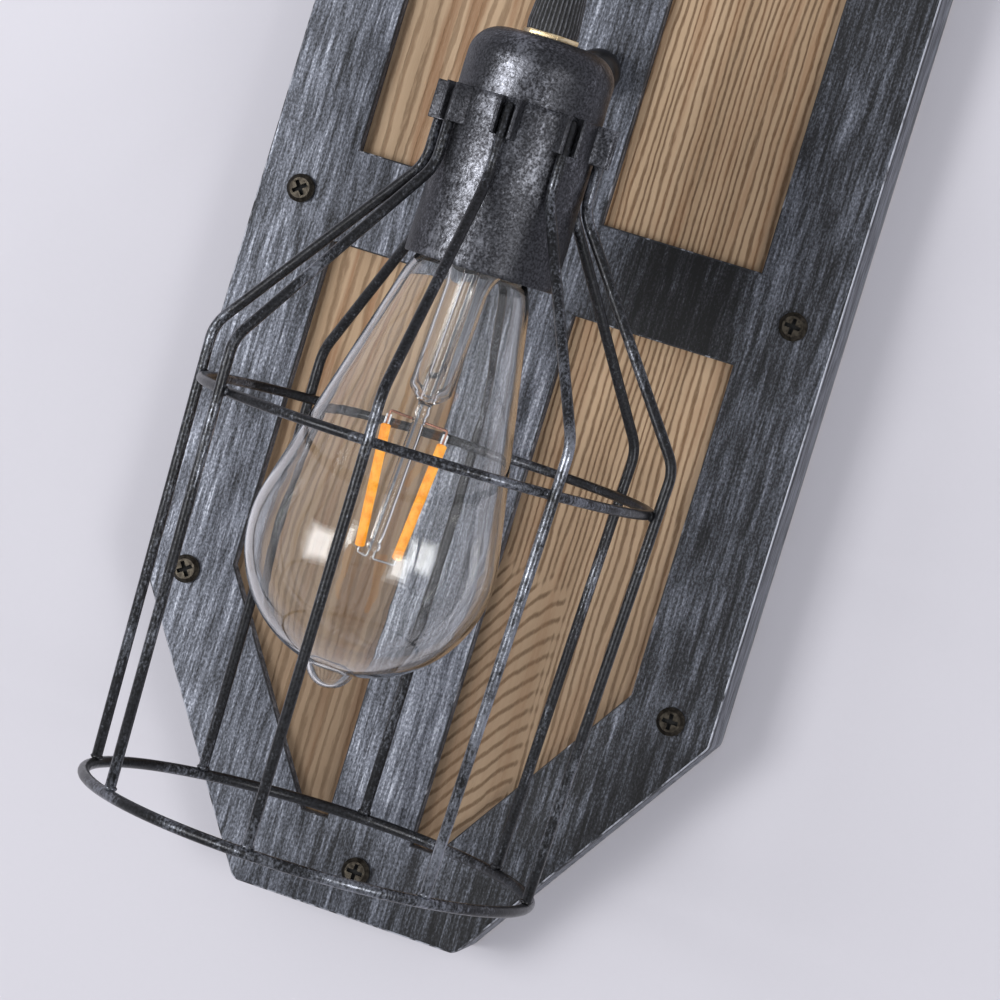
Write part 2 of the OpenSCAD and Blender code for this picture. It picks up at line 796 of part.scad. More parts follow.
module brass_nut() {
    color("gold")
    on_lamp_axis()
    difference() {
        translate([0, 0, cap_top_z])
        rotate([0, 0, nut_turn])
        cylinder(h = nut_t, r = nut_corners / 2, $fn = 6);
        translate([0, 0, cap_top_z - 1]) cylinder(h = nut_t + 2, r = nipple_r + fit_gap);
    }
}

module threaded_nipple() {
    color("silver")
    on_lamp_axis() tube(nipple_foot, nipple_top, nipple_r, nipple_bore_r);
}

module lock_nut() {
    color("silver")
    on_lamp_axis()
    difference() {
        translate([0, 0, cap_ceiling - lock_nut_t])
            cylinder(h = lock_nut_t, r = nut_corners / 2, $fn = 6);
        translate([0, 0, cap_ceiling - lock_nut_t - 1])
            cylinder(h = lock_nut_t + 2, r = nipple_r + fit_gap);
    }
}

// The end of the cord inside the grip and the nipple
module lamp_cable() {
    foot = nipple_foot + 2;
    top = grip_pivot - cord_r - loose_gap;
    color("black")
    on_lamp_axis()
    translate([0, 0, foot]) cylinder(h = top - foot, r = cord_r);
}

// Two conductors from the cord's end to the terminal screws of the insert
module lamp_leads() {
    beside_shank = insert_screw_r + lead_r + 2 * fit_gap;
    lead_z = insert_top + lead_r + 2 * fit_gap;
    color("saddlebrown")
    for (s = [0, 180])
        on_lamp_axis()
        rotate([0, 0, s])
        translate([0, -beside_shank, 0])
        rotate([90, 0, 0])
        bent_rod([[lead_r + 2 * fit_gap, nipple_foot + 2], [lead_r + 2 * fit_gap, lead_z],
            [insert_screw_x + 1.5, lead_z]], [lead_bend_r], lead_r);
}

module holder_cap() {
    fillet_steps = 8;
    inner_r = skirt_r - skirt_wall;
    inner_shoulder_r = cap_shoulder_r - cap_top_t;
    outer_arc = [for (i = [0:fillet_steps])
        [cap_r - cap_shoulder_r, cap_top_z - cap_shoulder_r]
        + cap_shoulder_r * [cos(90 * i / fillet_steps), sin(90 * i / fillet_steps)]];
    inner_arc = [for (i = [fillet_steps:-1:0])
        [inner_r - inner_shoulder_r, cap_ceiling - inner_shoulder_r]
        + inner_shoulder_r * [cos(90 * i / fillet_steps), sin(90 * i / fillet_steps)]];
    color("dimgray")
    on_lamp_axis()
    rotate_extrude()
    polygon(concat([[skirt_r, skirt_foot], [skirt_r, collar_top], [cap_r, collar_top]],
        outer_arc, [[nipple_r + fit_gap, cap_top_z], [nipple_r + fit_gap, cap_ceiling]],
        inner_arc, [[inner_r, skirt_foot]]));
}

module porcelain_insert() {
    color("white")
    on_lamp_axis()
    difference() {
        translate([0, 0, insert_foot]) cylinder(h = insert_h, r = insert_r);
        translate([0, 0, insert_foot - 1])
            cylinder(h = insert_bore_depth + 1, r = shell_r + fit_gap);
        for (s = [-1, 1])
            translate([s * insert_screw_x, 0, insert_top - 8])
            cylinder(h = 9, r = insert_screw_r + fit_gap);
    }
}

module insert_screws() {
    head_foot = insert_top + 2 * lead_r + 4 * fit_gap;
    color("gold")
    on_lamp_axis()
    for (s = [-1, 1])
        translate([s * insert_screw_x, 0, 0])
        difference() {
            union() {
                translate([0, 0, insert_top - 7]) cylinder(h = 8, r = insert_screw_r);
                translate([0, 0, insert_top]) cylinder(h = head_foot - insert_top + 0.5,
                    r = insert_screw_r);
                translate([0, 0, head_foot]) cylinder(h = insert_head_h, r = insert_head_r);
            }
            translate([0, 0, head_foot + insert_head_h])
                cube([0.8, 3 * insert_head_r, 1.4], center = true);
        }
}

// The plain metal shell that takes the bulb's thread, open below
module thread_shell() {
    color("gold")
    on_lamp_axis() {
        tube(insert_floor - shell_h, insert_floor, shell_r, shell_r - shell_wall);
    }
}

// A bent brass strip over the bulb's contact
module centre_contact() {
    strip_w = 8;
    strip_t = 0.5;
    leaf_z = contact_z + loose_gap;
    color("gold")
    on_lamp_axis() {
        translate([-5, -strip_w / 2, leaf_z]) cube([11, strip_w, strip_t]);
        translate([6, -strip_w / 2, leaf_z])
            cube([strip_t, strip_w, insert_floor - leaf_z]);
    }
}

// ---- Cage ---------------------------------------------------------------------------

module cage_collar() {
    rib_gap = 2 * (wire_r + loose_gap);
    color("dimgray") {
        on_lamp_axis() tube(collar_foot, collar_top, collar_r, collar_r - collar_wall);
        for (i = [1:wire_count], s = [-1, 1])
            at_wire(i)
            translate([collar_r - collar_wall / 2, collar_top - rib_h,
                s * (rib_gap + rib_t) / 2 - rib_t / 2])
            cube([rib_out + collar_wall / 2, rib_h, rib_t]);
    }
}

module cage_wire(i) {
    color("black")
    at_wire(i)
    swept_wire([[wire_axis_r, wire_top_z], [wire_axis_r, wire_top_z - wire_top_len],
        [shoulder_r, collar_foot - shoulder_drop], [foot_r, foot_z]],
        [collar_bend_r, shoulder_bend_r], wire_r);
}

module cage_ring(z, ring_r, r) {
    on_lamp_axis()
    translate([0, 0, z])
    rotate_extrude()
    translate([ring_r, 0]) circle(r);
}

module upper_ring() {
    color("black") cage_ring(upper_ring_z, upper_ring_r, upper_ring_wire_r);
}

module lower_ring() {
    color("black") cage_ring(lower_ring_z, foot_r, lower_ring_wire_r);
}

// ---- Bulb ---------------------------------------------------------------------------

module bulb_contact() {
    color("gold")
    in_bulb()
    translate([0, 0, -contact_h])
    cylinder(h = contact_h, r1 = contact_r, r2 = contact_r * 0.7);
}

module base_insulator() {
    color("black")
    in_bulb()
    translate([0, 0, -contact_h - insulator_h])
    cylinder(h = insulator_h, r1 = base_r - base_thread_depth - 1.5, r2 = contact_r + 0.3);
}

// The base's thread, as rolled rings: radius at a height between its two ends
function thread_r(z) = base_r - base_thread_depth / 2
    + base_thread_depth / 2 * cos(360 * z / base_pitch);

module bulb_base() {
    top = -contact_h - insulator_h;
    ring_steps = 8;
    thread_foot = top - 4.5 * base_pitch;
    heights = [for (i = [0:4 * ring_steps]) top - base_pitch / 2 - i * base_pitch / ring_steps];
    outer = [for (z = heights) [thread_r(z - top), z]];
    inner = [for (i = [len(heights) - 1:-1:0])
        [thread_r(heights[i] - top) - base_wall, heights[i]]];
    color("silver")
    in_bulb()
    rotate_extrude()
    polygon(concat([[base_r - base_thread_depth - 1.5, top]], outer,
        [[base_r - 0.4, thread_foot - 0.5], [base_r, -base_len],
         [base_r - base_wall, -base_len], [base_r - 0.4 - base_wall, thread_foot - 0.5]],
        inner, [[base_r - base_thread_depth - 1.5, top - base_wall]]));
}

// Outline of the glass, moved inwards by an inset, from the round end up to the neck
function glass_outline(inset) =
    let (steps = 24,
         r = glass_r - inset,
         neck_r = r * cos(flank_angle) - (neck_z - flank_turn_z) * tan(flank_angle),
         rim = [base_r + 0.1 - inset, -base_len - inset],
         pull = [neck_r - 5.8 * tan(flank_angle), neck_z + 5.8])
    concat(
        [for (i = [0:steps])
            let (a = -90 + (90 + flank_angle) * i / steps)
            [r * cos(a), -bulb_ball_len + r * sin(a)]],
        [for (i = [0:6])
            let (t = i / 6)
            (1 - t) * (1 - t) * [neck_r, neck_z] + 2 * t * (1 - t) * pull + t * t * rim]);

module bulb_glass() {
    seat_r = base_r - base_thread_depth - base_wall - fit_gap;
    nib_z = -bulb_len + nib_r;
    seat_top = -base_len + 6;
    color("lightcyan", 0.4)
    in_bulb()
    difference() {
        union() {
            rotate_extrude($fn = 96)
            polygon(concat(glass_outline(0),
                [[seat_r, -base_len], [seat_r, seat_top], [0, seat_top]]));
            translate([0, 0, nib_z]) sphere(nib_r);
        }
        rotate_extrude($fn = 96)
        polygon(concat(glass_outline(glass_t),
            [[seat_r - glass_t, -base_len - glass_t], [seat_r - glass_t, seat_top + 1],
             [0, seat_top + 1]]));
        translate([0, 0, nib_z]) sphere(nib_r - glass_t);
    }
}

// The stem: a tube flared into the neck and pinched shut at its lower end
module glass_stem() {
    seat_r = base_r - base_thread_depth - base_wall - fit_gap - glass_t - fit_gap;
    flare_z = -base_len + 2;
    flare_r = stem_r + 1.2;
    pinch_top = pinch_len - stem_len;
    wide_z = pinch_top + pinch_shoulder;
    color("lightcyan", 0.4)
    in_bulb()
    rotate_extrude()
    polygon([[0, -stem_len], [pinch_r, -stem_len], [pinch_r, pinch_top], [stem_r, wide_z],
        [stem_r, flare_z - 9], [flare_r, flare_z - 4], [seat_r, flare_z],
        [seat_r - stem_wall, flare_z + 0.4], [flare_r - stem_wall, flare_z - 3.6],
        [stem_r - stem_wall, flare_z - 8.8], [stem_r - stem_wall, wide_z],
        [exhaust_r, stem_floor(exhaust_r)], [exhaust_r, flare_z + 6],
        [exhaust_r - stem_wall, flare_z + 6],
        [exhaust_r - stem_wall, stem_floor(exhaust_r - stem_wall)], [0, stem_floor(0)]]);
}

// Height of the floor inside the stem at a radius, one wall above the cone outside
function stem_floor(r) =
    pinch_len - stem_len
    + max(0.2, (r + stem_wall - pinch_r) * pinch_shoulder / (stem_r - pinch_r));

module glass_rod() {
    color("lightcyan", 0.4)
    in_bulb()
    translate([0, 0, -rod_len])
    cylinder(h = rod_len - stem_len, r = rod_r);
}

// One lit filament, leaning in towards its lower end
module filament(side) {
    top = [side * filament_top_x, -filament_top];
    bottom = [side * filament_bottom_x + filament_shift, -filament_bottom];
    color("orange")
    in_bulb()
    rotate([90, 0, 0])
    straight_rod(bottom, top, filament_r);
}

// The thin wires that carry the filaments: two feeds above and one bridge below
module filament_wires() {
    color("peru")
    in_bulb()
    rotate([90, 0, 0]) {
        for (side = [-1, 1]) {
            top = [side * filament_top_x, -filament_top];
            swept_wire([[side * (pinch_r + fit_gap), feed_z], [side * filament_top_x, feed_z], top],
                [thin_bend_r], thin_wire_r, 6, 3);
        }
        for (side = [-1, 1]) {
            bottom = [side * filament_bottom_x + filament_shift, -filament_bottom];
            low_z = -max(filament_bottom, rod_len);
            end_x = side * rod_r / 2;
            swept_wire([bottom, [bottom.x, low_z - 1.4], [end_x, low_z - 1.8],
                [end_x, -rod_len]],
                [thin_bend_r, thin_bend_r], thin_wire_r, 6, 3);
        }
    }
}

// ---- Pieces -------------------------------------------------------------------------

wood_board();
overlay_frame();
overlay_screws();
wall_bracket();
bracket_studs();
ball_nuts();
terminal_block();
terminal_screws();
earth_screw();
supply_leads();
arm_plate();
arm_plate_screws();
arm_tube();
arm_bushing();
arm_cable();
drop_cord();
cord_grip();
brass_nut();
threaded_nipple();
lock_nut();
lamp_cable();
lamp_leads();
holder_cap();
porcelain_insert();
insert_screws();
thread_shell();
centre_contact();
cage_collar();
upper_ring();
lower_ring();
for (i = [1:wire_count])
    cage_wire(i - 1);
bulb_contact();
base_insulator();
bulb_base();
bulb_glass();
glass_stem();
glass_rod();
filament(-1);  // filament_1
filament(1);  // filament_2
filament_wires();
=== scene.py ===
# %% [markdown]
# # A caged wall light on a wooden board
#
# The frame holds the exact solids of the light: the board, the arm, the holder, the cage and
# the bulb. This lesson dresses them. Pieces whose solid already looks right keep it and get a
# finish. Pieces with finer forms, such as the ribbed cord grip, the pressed collar and the
# glass, are modelled here and stand in the place of their solids.

# %% Frame
import bmesh
import bpy
from math import asin, atan2, cos, degrees, pi, radians, sin, tan
from mathutils import Matrix, Vector, noise


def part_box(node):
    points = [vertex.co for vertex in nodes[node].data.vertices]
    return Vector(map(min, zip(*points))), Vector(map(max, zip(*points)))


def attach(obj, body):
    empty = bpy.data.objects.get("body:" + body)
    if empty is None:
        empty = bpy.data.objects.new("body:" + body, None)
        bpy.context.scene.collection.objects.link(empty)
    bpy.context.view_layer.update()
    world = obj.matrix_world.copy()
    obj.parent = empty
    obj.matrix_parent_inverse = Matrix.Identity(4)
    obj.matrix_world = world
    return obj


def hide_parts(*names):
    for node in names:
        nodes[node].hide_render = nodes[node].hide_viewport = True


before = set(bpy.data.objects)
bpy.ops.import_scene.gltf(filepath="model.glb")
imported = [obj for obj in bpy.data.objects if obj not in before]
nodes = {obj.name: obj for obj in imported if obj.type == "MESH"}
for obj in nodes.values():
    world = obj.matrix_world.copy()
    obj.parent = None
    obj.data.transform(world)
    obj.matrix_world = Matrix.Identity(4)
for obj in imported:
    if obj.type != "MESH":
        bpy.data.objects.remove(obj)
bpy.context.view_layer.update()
MM = 0.001


def new_object(name, data):
    made = bpy.data.objects.new(name, data)
    bpy.context.scene.collection.objects.link(made)
    return made


# %% [markdown]
# ## Camera
#
# The photograph was taken from the right of the lamp, almost level with the cross bar, with
# the camera rolled so that the light leans across the picture. Its place, its three turns
# and its focal length were worked out from the board's straight edges, whose real sizes are
# known. A camera looks along its own -Z, with +Y up in the picture, so its matrix is built
# from the viewing direction and then rolled.

# %% Camera
CAMERA_PLACE = Vector((238.0, -1155.3, 5.3)) * MM
CAMERA_YAW, CAMERA_PITCH, CAMERA_ROLL = radians(11.478), radians(-3.532), radians(17.048)
CAMERA_LENS, CAMERA_SENSOR = 154.8, 36.0


def camera_matrix(place, yaw, pitch, roll):
    forward = Vector((-sin(yaw) * cos(pitch), cos(yaw) * cos(pitch), sin(pitch)))
    level = forward.cross(Vector((0, 0, 1))).normalized()
    up = level.cross(forward)
    across = level * cos(roll) + up * sin(roll)
    upright = up * cos(roll) - level * sin(roll)
    turn = Matrix((across, upright, -forward)).transposed()
    return Matrix.Translation(place) @ turn.to_4x4()


camera_data = bpy.data.cameras.new("photo_camera")
camera_data.lens = CAMERA_LENS
camera_data.sensor_width = CAMERA_SENSOR
camera_data.clip_start = 0.01
camera_data.clip_end = 20
camera = new_object("photo_camera", camera_data)
camera.matrix_world = camera_matrix(CAMERA_PLACE, CAMERA_YAW, CAMERA_PITCH, CAMERA_ROLL)
bpy.context.scene.camera = camera
print("Camera at", [round(v, 3) for v in camera.location], "lens", CAMERA_LENS)

# %% [markdown]
# ## Shader maths as expressions
#
# A material is a graph of nodes, which is tiresome to wire by hand. The class below wraps
# one output of a node, so that `1 - mask * 0.5` adds the Math nodes it needs. Colours and
# vectors don't go through Math nodes, which would turn them grey: they go through Mix and
# Vector Math.

# %% Value and Finish
class Value:
    """One output of a node, usable in expressions."""

    def __init__(self, finish, socket):
        self.finish = finish
        self.socket = socket

    def math(self, operation, *others, clamp=False):
        return self.finish.node("ShaderNodeMath", {"operation": operation, "use_clamp": clamp},
                                self, *others)

    def __add__(self, other): return self.math("ADD", other)
    def __radd__(self, other): return self.math("ADD", other)
    def __sub__(self, other): return self.math("SUBTRACT", other)
    def __mul__(self, other): return self.math("MULTIPLY", other)
    def __rmul__(self, other): return self.math("MULTIPLY", other)
    def __truediv__(self, other): return self.math("DIVIDE", other)
    def __pow__(self, other): return self.math("POWER", other)

    def __rsub__(self, other):
        return self.finish.node("ShaderNodeMath", {"operation": "SUBTRACT"}, other, self)

    def clamp(self): return self.math("ADD", 0.0, clamp=True)
    def abs(self): return self.math("ABSOLUTE")
    def sin(self): return self.math("SINE")
    def max(self, other): return self.math("MAXIMUM", other)
    def min(self, other): return self.math("MINIMUM", other)

    def ramp(self, start, end):
        """0 below start, 1 above end, and smooth between them."""
        return self.finish.node("ShaderNodeMapRange", {"interpolation_type": "SMOOTHSTEP"},
                                self, start, end, 0.0, 1.0)

    def axes(self):
        """The three numbers of a vector."""
        split = self.finish.raw("ShaderNodeSeparateXYZ", {}, self)
        return [Value(self.finish, out) for out in split.outputs]

    def scaled(self, x, y, z):
        """A vector whose three numbers are scaled by themselves."""
        return self.finish.node("ShaderNodeVectorMath", {"operation": "MULTIPLY"},
                                self, (x, y, z))


class Finish:
    """A material with one Principled shader, built by expressions."""

    def __init__(self, name, **constants):
        self.material = bpy.data.materials.new(name)
        self.material.use_nodes = True
        self.tree = self.material.node_tree
        self.shader = self.tree.nodes["Principled BSDF"]
        for socket, value in constants.items():
            self.shader.inputs[socket.replace("_", " ")].default_value = value

    def raw(self, kind, settings, *values, **named):
        """Adds a node, sets it up, and links or sets its inputs in order or by name."""
        made = self.tree.nodes.new(kind)
        for key, value in settings.items():
            if key == "stops":
                stops = made.color_ramp.elements
                while len(stops) < len(value):
                    stops.new(1.0)
                for stop, (place, colour) in zip(stops, value):
                    stop.position = place
                    stop.color = (*colour, 1.0)
            else:
                setattr(made, key, value)
        open_inputs = [socket for socket in made.inputs if socket.enabled]
        for socket, value in zip(open_inputs, values):
            self.feed(socket, value)
        for key, value in named.items():
            self.feed(next(socket for socket in open_inputs if socket.name == key), value)
        return made

    def node(self, kind, settings, *values, **named):
        """The first enabled output of a new node."""
        made = self.raw(kind, settings, *values, **named)
        return Value(self, next(out for out in made.outputs if out.enabled))

    def feed(self, socket, value):
        if isinstance(value, Value):
            self.tree.links.new(value.socket, socket)
        elif socket.type == "RGBA":
            socket.default_value = (*value[:3], 1.0)
        else:
            socket.default_value = value

    def reading(self, kind, output):
        """A named output of a node that has no inputs."""
        return Value(self, self.raw(kind, {}).outputs[output])

    def place(self):
        """The object's own coordinates, in millimetres."""
        return self.reading("ShaderNodeTexCoord", "Object").scaled(1000, 1000, 1000)

    def normal(self):
        """The three numbers of the surface's own direction."""
        return self.reading("ShaderNodeNewGeometry", "True Normal").axes()

    def round_axis(self):
        """The angle round the lamp's axis."""
        x, y, z = self.place().axes()
        return (y - AXIS_Y).math("ARCTAN2", x - AXIS_X)

    def noise(self, where, scale=1.0, detail=2.0, rough=0.5):
        return self.node("ShaderNodeTexNoise", {}, where, Scale=scale, Detail=detail,
                         Roughness=rough)

    def mix(self, mask, low, high):
        """A colour between two colours."""
        return self.node("ShaderNodeMix", {"data_type": "RGBA"}, mask, low, high)

    def set(self, **links):
        for socket, value in links.items():
            self.feed(self.shader.inputs[socket.replace("_", " ")], value)

    def bump(self, height, depth_mm, strength=1.0):
        """Raises the surface by a height of 0 to 1, times a depth."""
        raised = self.node("ShaderNodeBump", {}, Strength=strength, Distance=depth_mm * MM,
                           Height=height)
        self.feed(self.shader.inputs["Normal"], raised)

    def see_through(self, share):
        """Lets a share of the view or the light straight through the surface."""
        either = self.raw("ShaderNodeMixShader", {})
        self.feed(either.inputs[0], share)
        clear = self.raw("ShaderNodeBsdfTransparent", {})
        for shader, socket in ((self.shader, either.inputs[1]), (clear, either.inputs[2]),
                               (either, self.tree.nodes["Material Output"].inputs["Surface"])):
            self.tree.links.new(shader.outputs[0], socket)


def srgb(red, green, blue):
    """A linear colour from the numbers of a picture, 0 to 255."""
    return tuple((v / 255 / 12.92) if v <= 10 else ((v / 255 + 0.055) / 1.055) ** 2.4
                 for v in (red, green, blue))


print("Shader helpers ready")

# %% [markdown]
# ## Wall and light
#
# The light hangs on a pale lilac wall. The wall is part of the stage, not of the object, and
# it is seen from the front only. From behind, it lets the camera through. It also lets light
# through to what lies close against it, so that the back of the board can be looked at.
#
# The places of the two lamps were read from the two soft patches on the bulb: a ball shows a
# lamp half-way between the lamp and the camera. The key stands level with the bulb at the
# left, and drops the board's shadow to the right. The other stands at the right. Each is a
# few lamps of growing size behind one another, which gives its picture in the glass a soft
# rim. The pale world fills in the rest.

# %% Wall
WALL_COLOUR = srgb(222, 220, 227)
WALL_PAINTED_SHADE = 0.86
NEAR_WALL = 0.006
WALL_REACH, WALL_GAP = 3.0, 0.0004


def wall_finish():
    paint = Finish("wall_paint", Roughness=0.9, Specular_IOR_Level=0.15)
    spot = paint.place()
    x, y, z = spot.axes()
    grain = paint.noise(spot, 0.6, 3.0)
    # Painted shade: the wall's colour grows darker towards the bottom right, where the lamps'
    # light falls off.
    painted_falloff = (x * 0.3 - z).ramp(-220, 260)
    shade = (grain * 0.1 + painted_falloff * 0.9).clamp()
    paint.set(Base_Color=paint.mix(shade, WALL_COLOUR, [c * WALL_PAINTED_SHADE for c in WALL_COLOUR]))
    near = paint.reading("ShaderNodeLightPath", "Ray Length").math("LESS_THAN", NEAR_WALL)
    paint.see_through(paint.reading("ShaderNodeNewGeometry", "Backfacing").max(near))
    return paint


sheet = bmesh.new()
sheet.faces.new([sheet.verts.new((x * WALL_REACH, WALL_GAP, z * WALL_REACH))
                 for x, z in ((-1, -1), (1, -1), (1, 1), (-1, 1))])
wall_mesh = bpy.data.meshes.new("wall")
sheet.to_mesh(wall_mesh)
sheet.free()
wall_mesh.materials.append(wall_finish().material)
wall = new_object("wall", wall_mesh)
print("Wall", 2 * WALL_REACH, "m wide")

# %% Lamps
BULB_MIDDLE = Vector((0, -0.094, -0.084))
LAMP_TARGET = Vector((0.0, -0.05, -0.05))
LAMP_ELEVATION = -4
LAMP_STEP = 0.01
KEY_LAMPS = ((0.56, 3.4), (0.72, 4.7), (0.88, 4.9), (1.04, 4.3))
SIDE_LAMPS = ((0.34, 2.6), (0.5, 2.9), (0.68, 2.3))
WORLD_COLOUR, WORLD_LEVEL = (0.93, 0.94, 1.0, 1.0), 0.51


def soft_lamp(name, place, width, height, watts):
    data = bpy.data.lights.new(name, "AREA")
    data.shape = "RECTANGLE"
    data.size, data.size_y = width, height
    data.energy = watts
    lamp = new_object(name, data)
    lamp.location = place
    lamp.rotation_euler = (LAMP_TARGET - place).to_track_quat("-Z", "Y").to_euler()


def round_the_bulb(azimuth, elevation, away):
    """A place seen from the bulb: azimuth to the right of straight ahead, in degrees."""
    level = away * cos(radians(elevation))
    return BULB_MIDDLE + Vector((level * sin(radians(azimuth)), -level * cos(radians(azimuth)),
                                 away * sin(radians(elevation))))


for kind, azimuth, away, tall, lamps in (("key", -35, 1.7, 1.0, KEY_LAMPS),
                                         ("side", 41, 1.6, 1.3, SIDE_LAMPS)):
    for number, (width, watts) in enumerate(lamps):
        place = round_the_bulb(azimuth, LAMP_ELEVATION, away + LAMP_STEP * number)
        soft_lamp(f"{kind}_lamp_{number + 1}", place, width, width * tall, watts)

world = bpy.data.worlds.new("studio")
world.use_nodes = True
background = world.node_tree.nodes["Background"].inputs
background["Color"].default_value = WORLD_COLOUR
background["Strength"].default_value = WORLD_LEVEL
bpy.context.scene.world = world
bpy.context.scene.view_settings.view_transform = "Standard"

# %% [markdown]
# ## Forms in bmesh
#
# Most of this light is turned, bent or cut from sheet, so a few helpers cover it: an outline
# spun about the lamp's axis, a wire drawn along straight runs and swung through its bends,
# and a flat outline given a thickness. All are worked in millimetres about the origin, then
# placed, and scaled to metres at the end. An edge sharper than a limit stays crisp, and the
# rest of the surface shades smoothly.

# %% Forms
MERGE_MM = 0.001
BORE_DEPTH = 18


def verts_in(geom):
    return [g for g in geom if isinstance(g, bmesh.types.BMVert)]


def edges_in(geom):
    return [g for g in geom if isinstance(g, bmesh.types.BMEdge)]


def rim_verts(rim):
    return list({v for e in rim for v in e.verts})


def arc(middle, radius, start, end, steps=8):
    """Points along a round stretch, with angles in degrees."""
    return [(middle[0] + radius * cos(radians(start + (end - start) * i / steps)),
             middle[1] + radius * sin(radians(start + (end - start) * i / steps)))
            for i in range(steps + 1)]


def turned(outline, steps=96, closed=False):
    """An outline of (radius, height) points, spun about the upright axis."""
    form = bmesh.new()
    points = [form.verts.new((r, 0, z)) for r, z in outline]
    edges = [form.edges.new(pair) for pair in zip(points, points[1:])]
    if closed:
        edges.append(form.edges.new((points[-1], points[0])))
    bmesh.ops.spin(form, geom=points + edges, cent=(0, 0, 0), axis=(0, 0, 1), dvec=(0, 0, 0),
                   angle=2 * pi, steps=steps, use_merge=True)
    bmesh.ops.remove_doubles(form, verts=form.verts, dist=MERGE_MM)
    return form


def drawn(form, rim, move):
    """Draws an open rim of edges along a straight move, and gives the new rim."""
    made = bmesh.ops.extrude_edge_only(form, edges=rim)["geom"]
    new = verts_in(made)
    bmesh.ops.translate(form, verts=new, vec=move)
    return [e for e in edges_in(made) if set(e.verts) <= set(new)]


def rounded_tip(form, rim, heading, radius):
    """Closes a wire's open rim with a small round tip."""
    for narrow, reach in ((0.8, 0.35), (0.55, 0.3)):
        rim = drawn(form, rim, heading * radius * reach)
        points = rim_verts(rim)
        middle = sum((v.co for v in points), Vector()) / len(points)
        bmesh.ops.scale(form, verts=points, vec=(narrow,) * 3,
                        space=Matrix.Translation(-middle))
    bmesh.ops.contextual_create(form, geom=rim)


def bored_tip(form, rim, end, narrow, inwards):
    """Leaves a wire's rim open: its wall turns in and goes back up to the bore's floor."""
    rim = drawn(form, rim, Vector())
    bmesh.ops.scale(form, verts=rim_verts(rim), vec=(narrow,) * 3,
                    space=Matrix.Translation(-end))
    bmesh.ops.contextual_create(form, geom=drawn(form, rim, inwards))


def bent_wire(route, bends, radius, sides=16, bend_steps=8, bore=0):
    """A round wire in the upright XZ plane, through (x, z) corners with their bend radii.

    With a bore it is a tube whose last end is open.
    """
    corners = [Vector((x, 0, z)) for x, z in route]
    across = Vector((0, 1, 0))
    heading = (corners[1] - corners[0]).normalized()
    form = bmesh.new()
    face_along = heading.to_track_quat("Z", "Y").to_matrix().to_4x4()
    bmesh.ops.create_circle(form, cap_ends=False, segments=sides, radius=radius,
                            matrix=Matrix.Translation(corners[0]) @ face_along)
    rim = form.edges[:]
    rounded_tip(form, rim, -heading, radius)
    position = corners[0]
    for here, after, bend in zip(corners[1:], corners[2:], bends):
        onward = (after - here).normalized()
        turn = atan2(heading.cross(onward).dot(across), heading.dot(onward))
        start = here - heading * bend * tan(abs(turn) / 2)
        rim = drawn(form, rim, start - position)
        side = heading.cross(across) * (bend if turn > 0 else -bend)
        swung = bmesh.ops.spin(form, geom=rim, cent=start - side, axis=across,
                               dvec=(0, 0, 0), angle=turn, steps=bend_steps)
        rim = edges_in(swung["geom_last"])
        position = here + onward * bend * tan(abs(turn) / 2)
        heading = onward
    rim = drawn(form, rim, corners[-1] - position)
    if bore:
        bored_tip(form, rim, corners[-1], bore / radius, heading * -BORE_DEPTH)
    else:
        rounded_tip(form, rim, heading, radius)
    return form


def wire_ring(ring_radius, height, radius, sides=16, steps=128):
    """A ring of round wire about the upright axis."""
    form = bmesh.new()
    upright = Matrix.Rotation(pi / 2, 4, "X")
    bmesh.ops.create_circle(form, cap_ends=False, segments=sides, radius=radius,
                            matrix=Matrix.Translation((ring_radius, 0, height)) @ upright)
    bmesh.ops.spin(form, geom=form.verts[:] + form.edges[:], cent=(0, 0, 0), axis=(0, 0, 1),
                   dvec=(0, 0, 0), angle=2 * pi, steps=steps, use_merge=True)
    return form


def drawn_faces(form, move):
    """Draws the faces of a flat form along a move."""
    made = bmesh.ops.extrude_face_region(form, geom=form.faces[:], use_keep_orig=True)["geom"]
    bmesh.ops.translate(form, verts=verts_in(made), vec=move)


def thickened(form, move):
    """Makes a flat form a solid with its faces outwards."""
    bmesh.ops.recalc_face_normals(form, faces=form.faces)
    drawn_faces(form, move)
    bmesh.ops.recalc_face_normals(form, faces=form.faces)


def sheet_form(corners, thickness):
    """A flat outline of (x, y) corners, given a thickness upwards."""
    form = bmesh.new()
    form.faces.new([form.verts.new((x, y, 0)) for x, y in corners])
    thickened(form, (0, 0, thickness))
    return form


def softened(form, edges, width, segments=2, worn=-1):
    bmesh.ops.bevel(form, geom=edges, offset=width, offset_type="OFFSET", segments=segments,
                    profile=0.5, affect="EDGES", material=worn, clamp_overlap=True)


def sharp_edges(form, limit=30):
    return [e for e in form.edges if e.calc_face_angle(0.0) > radians(limit)]


def add_form(whole, part, place=Matrix()):
    """Adds one form to another, at a place, and lets go of the first."""
    bmesh.ops.transform(part, matrix=place, verts=part.verts)
    carrier = bpy.data.meshes.new("carrier")
    part.to_mesh(carrier)
    whole.from_mesh(carrier)
    bpy.data.meshes.remove(carrier)
    part.free()


def light_piece(name, form, body, finishes, replaced=(), place=Matrix(), crisp=35):
    """Makes a form in millimetres one finished piece of the light."""
    bmesh.ops.remove_doubles(form, verts=form.verts, dist=0.0005)
    bmesh.ops.recalc_face_normals(form, faces=form.faces)
    bmesh.ops.transform(form, matrix=Matrix.Scale(MM, 4) @ place, verts=form.verts)
    for face in form.faces:
        face.smooth = True
    for edge in form.edges:
        edge.smooth = edge.calc_face_angle(0.0) < radians(crisp)
    mesh = bpy.data.meshes.new(name)
    form.to_mesh(mesh)
    form.free()
    for finish in finishes:
        mesh.materials.append(finish.material)
    piece = new_object(name, mesh)
    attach(piece, body)
    if replaced:
        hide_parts(*replaced)
    print(name, len(mesh.polygons), "faces")


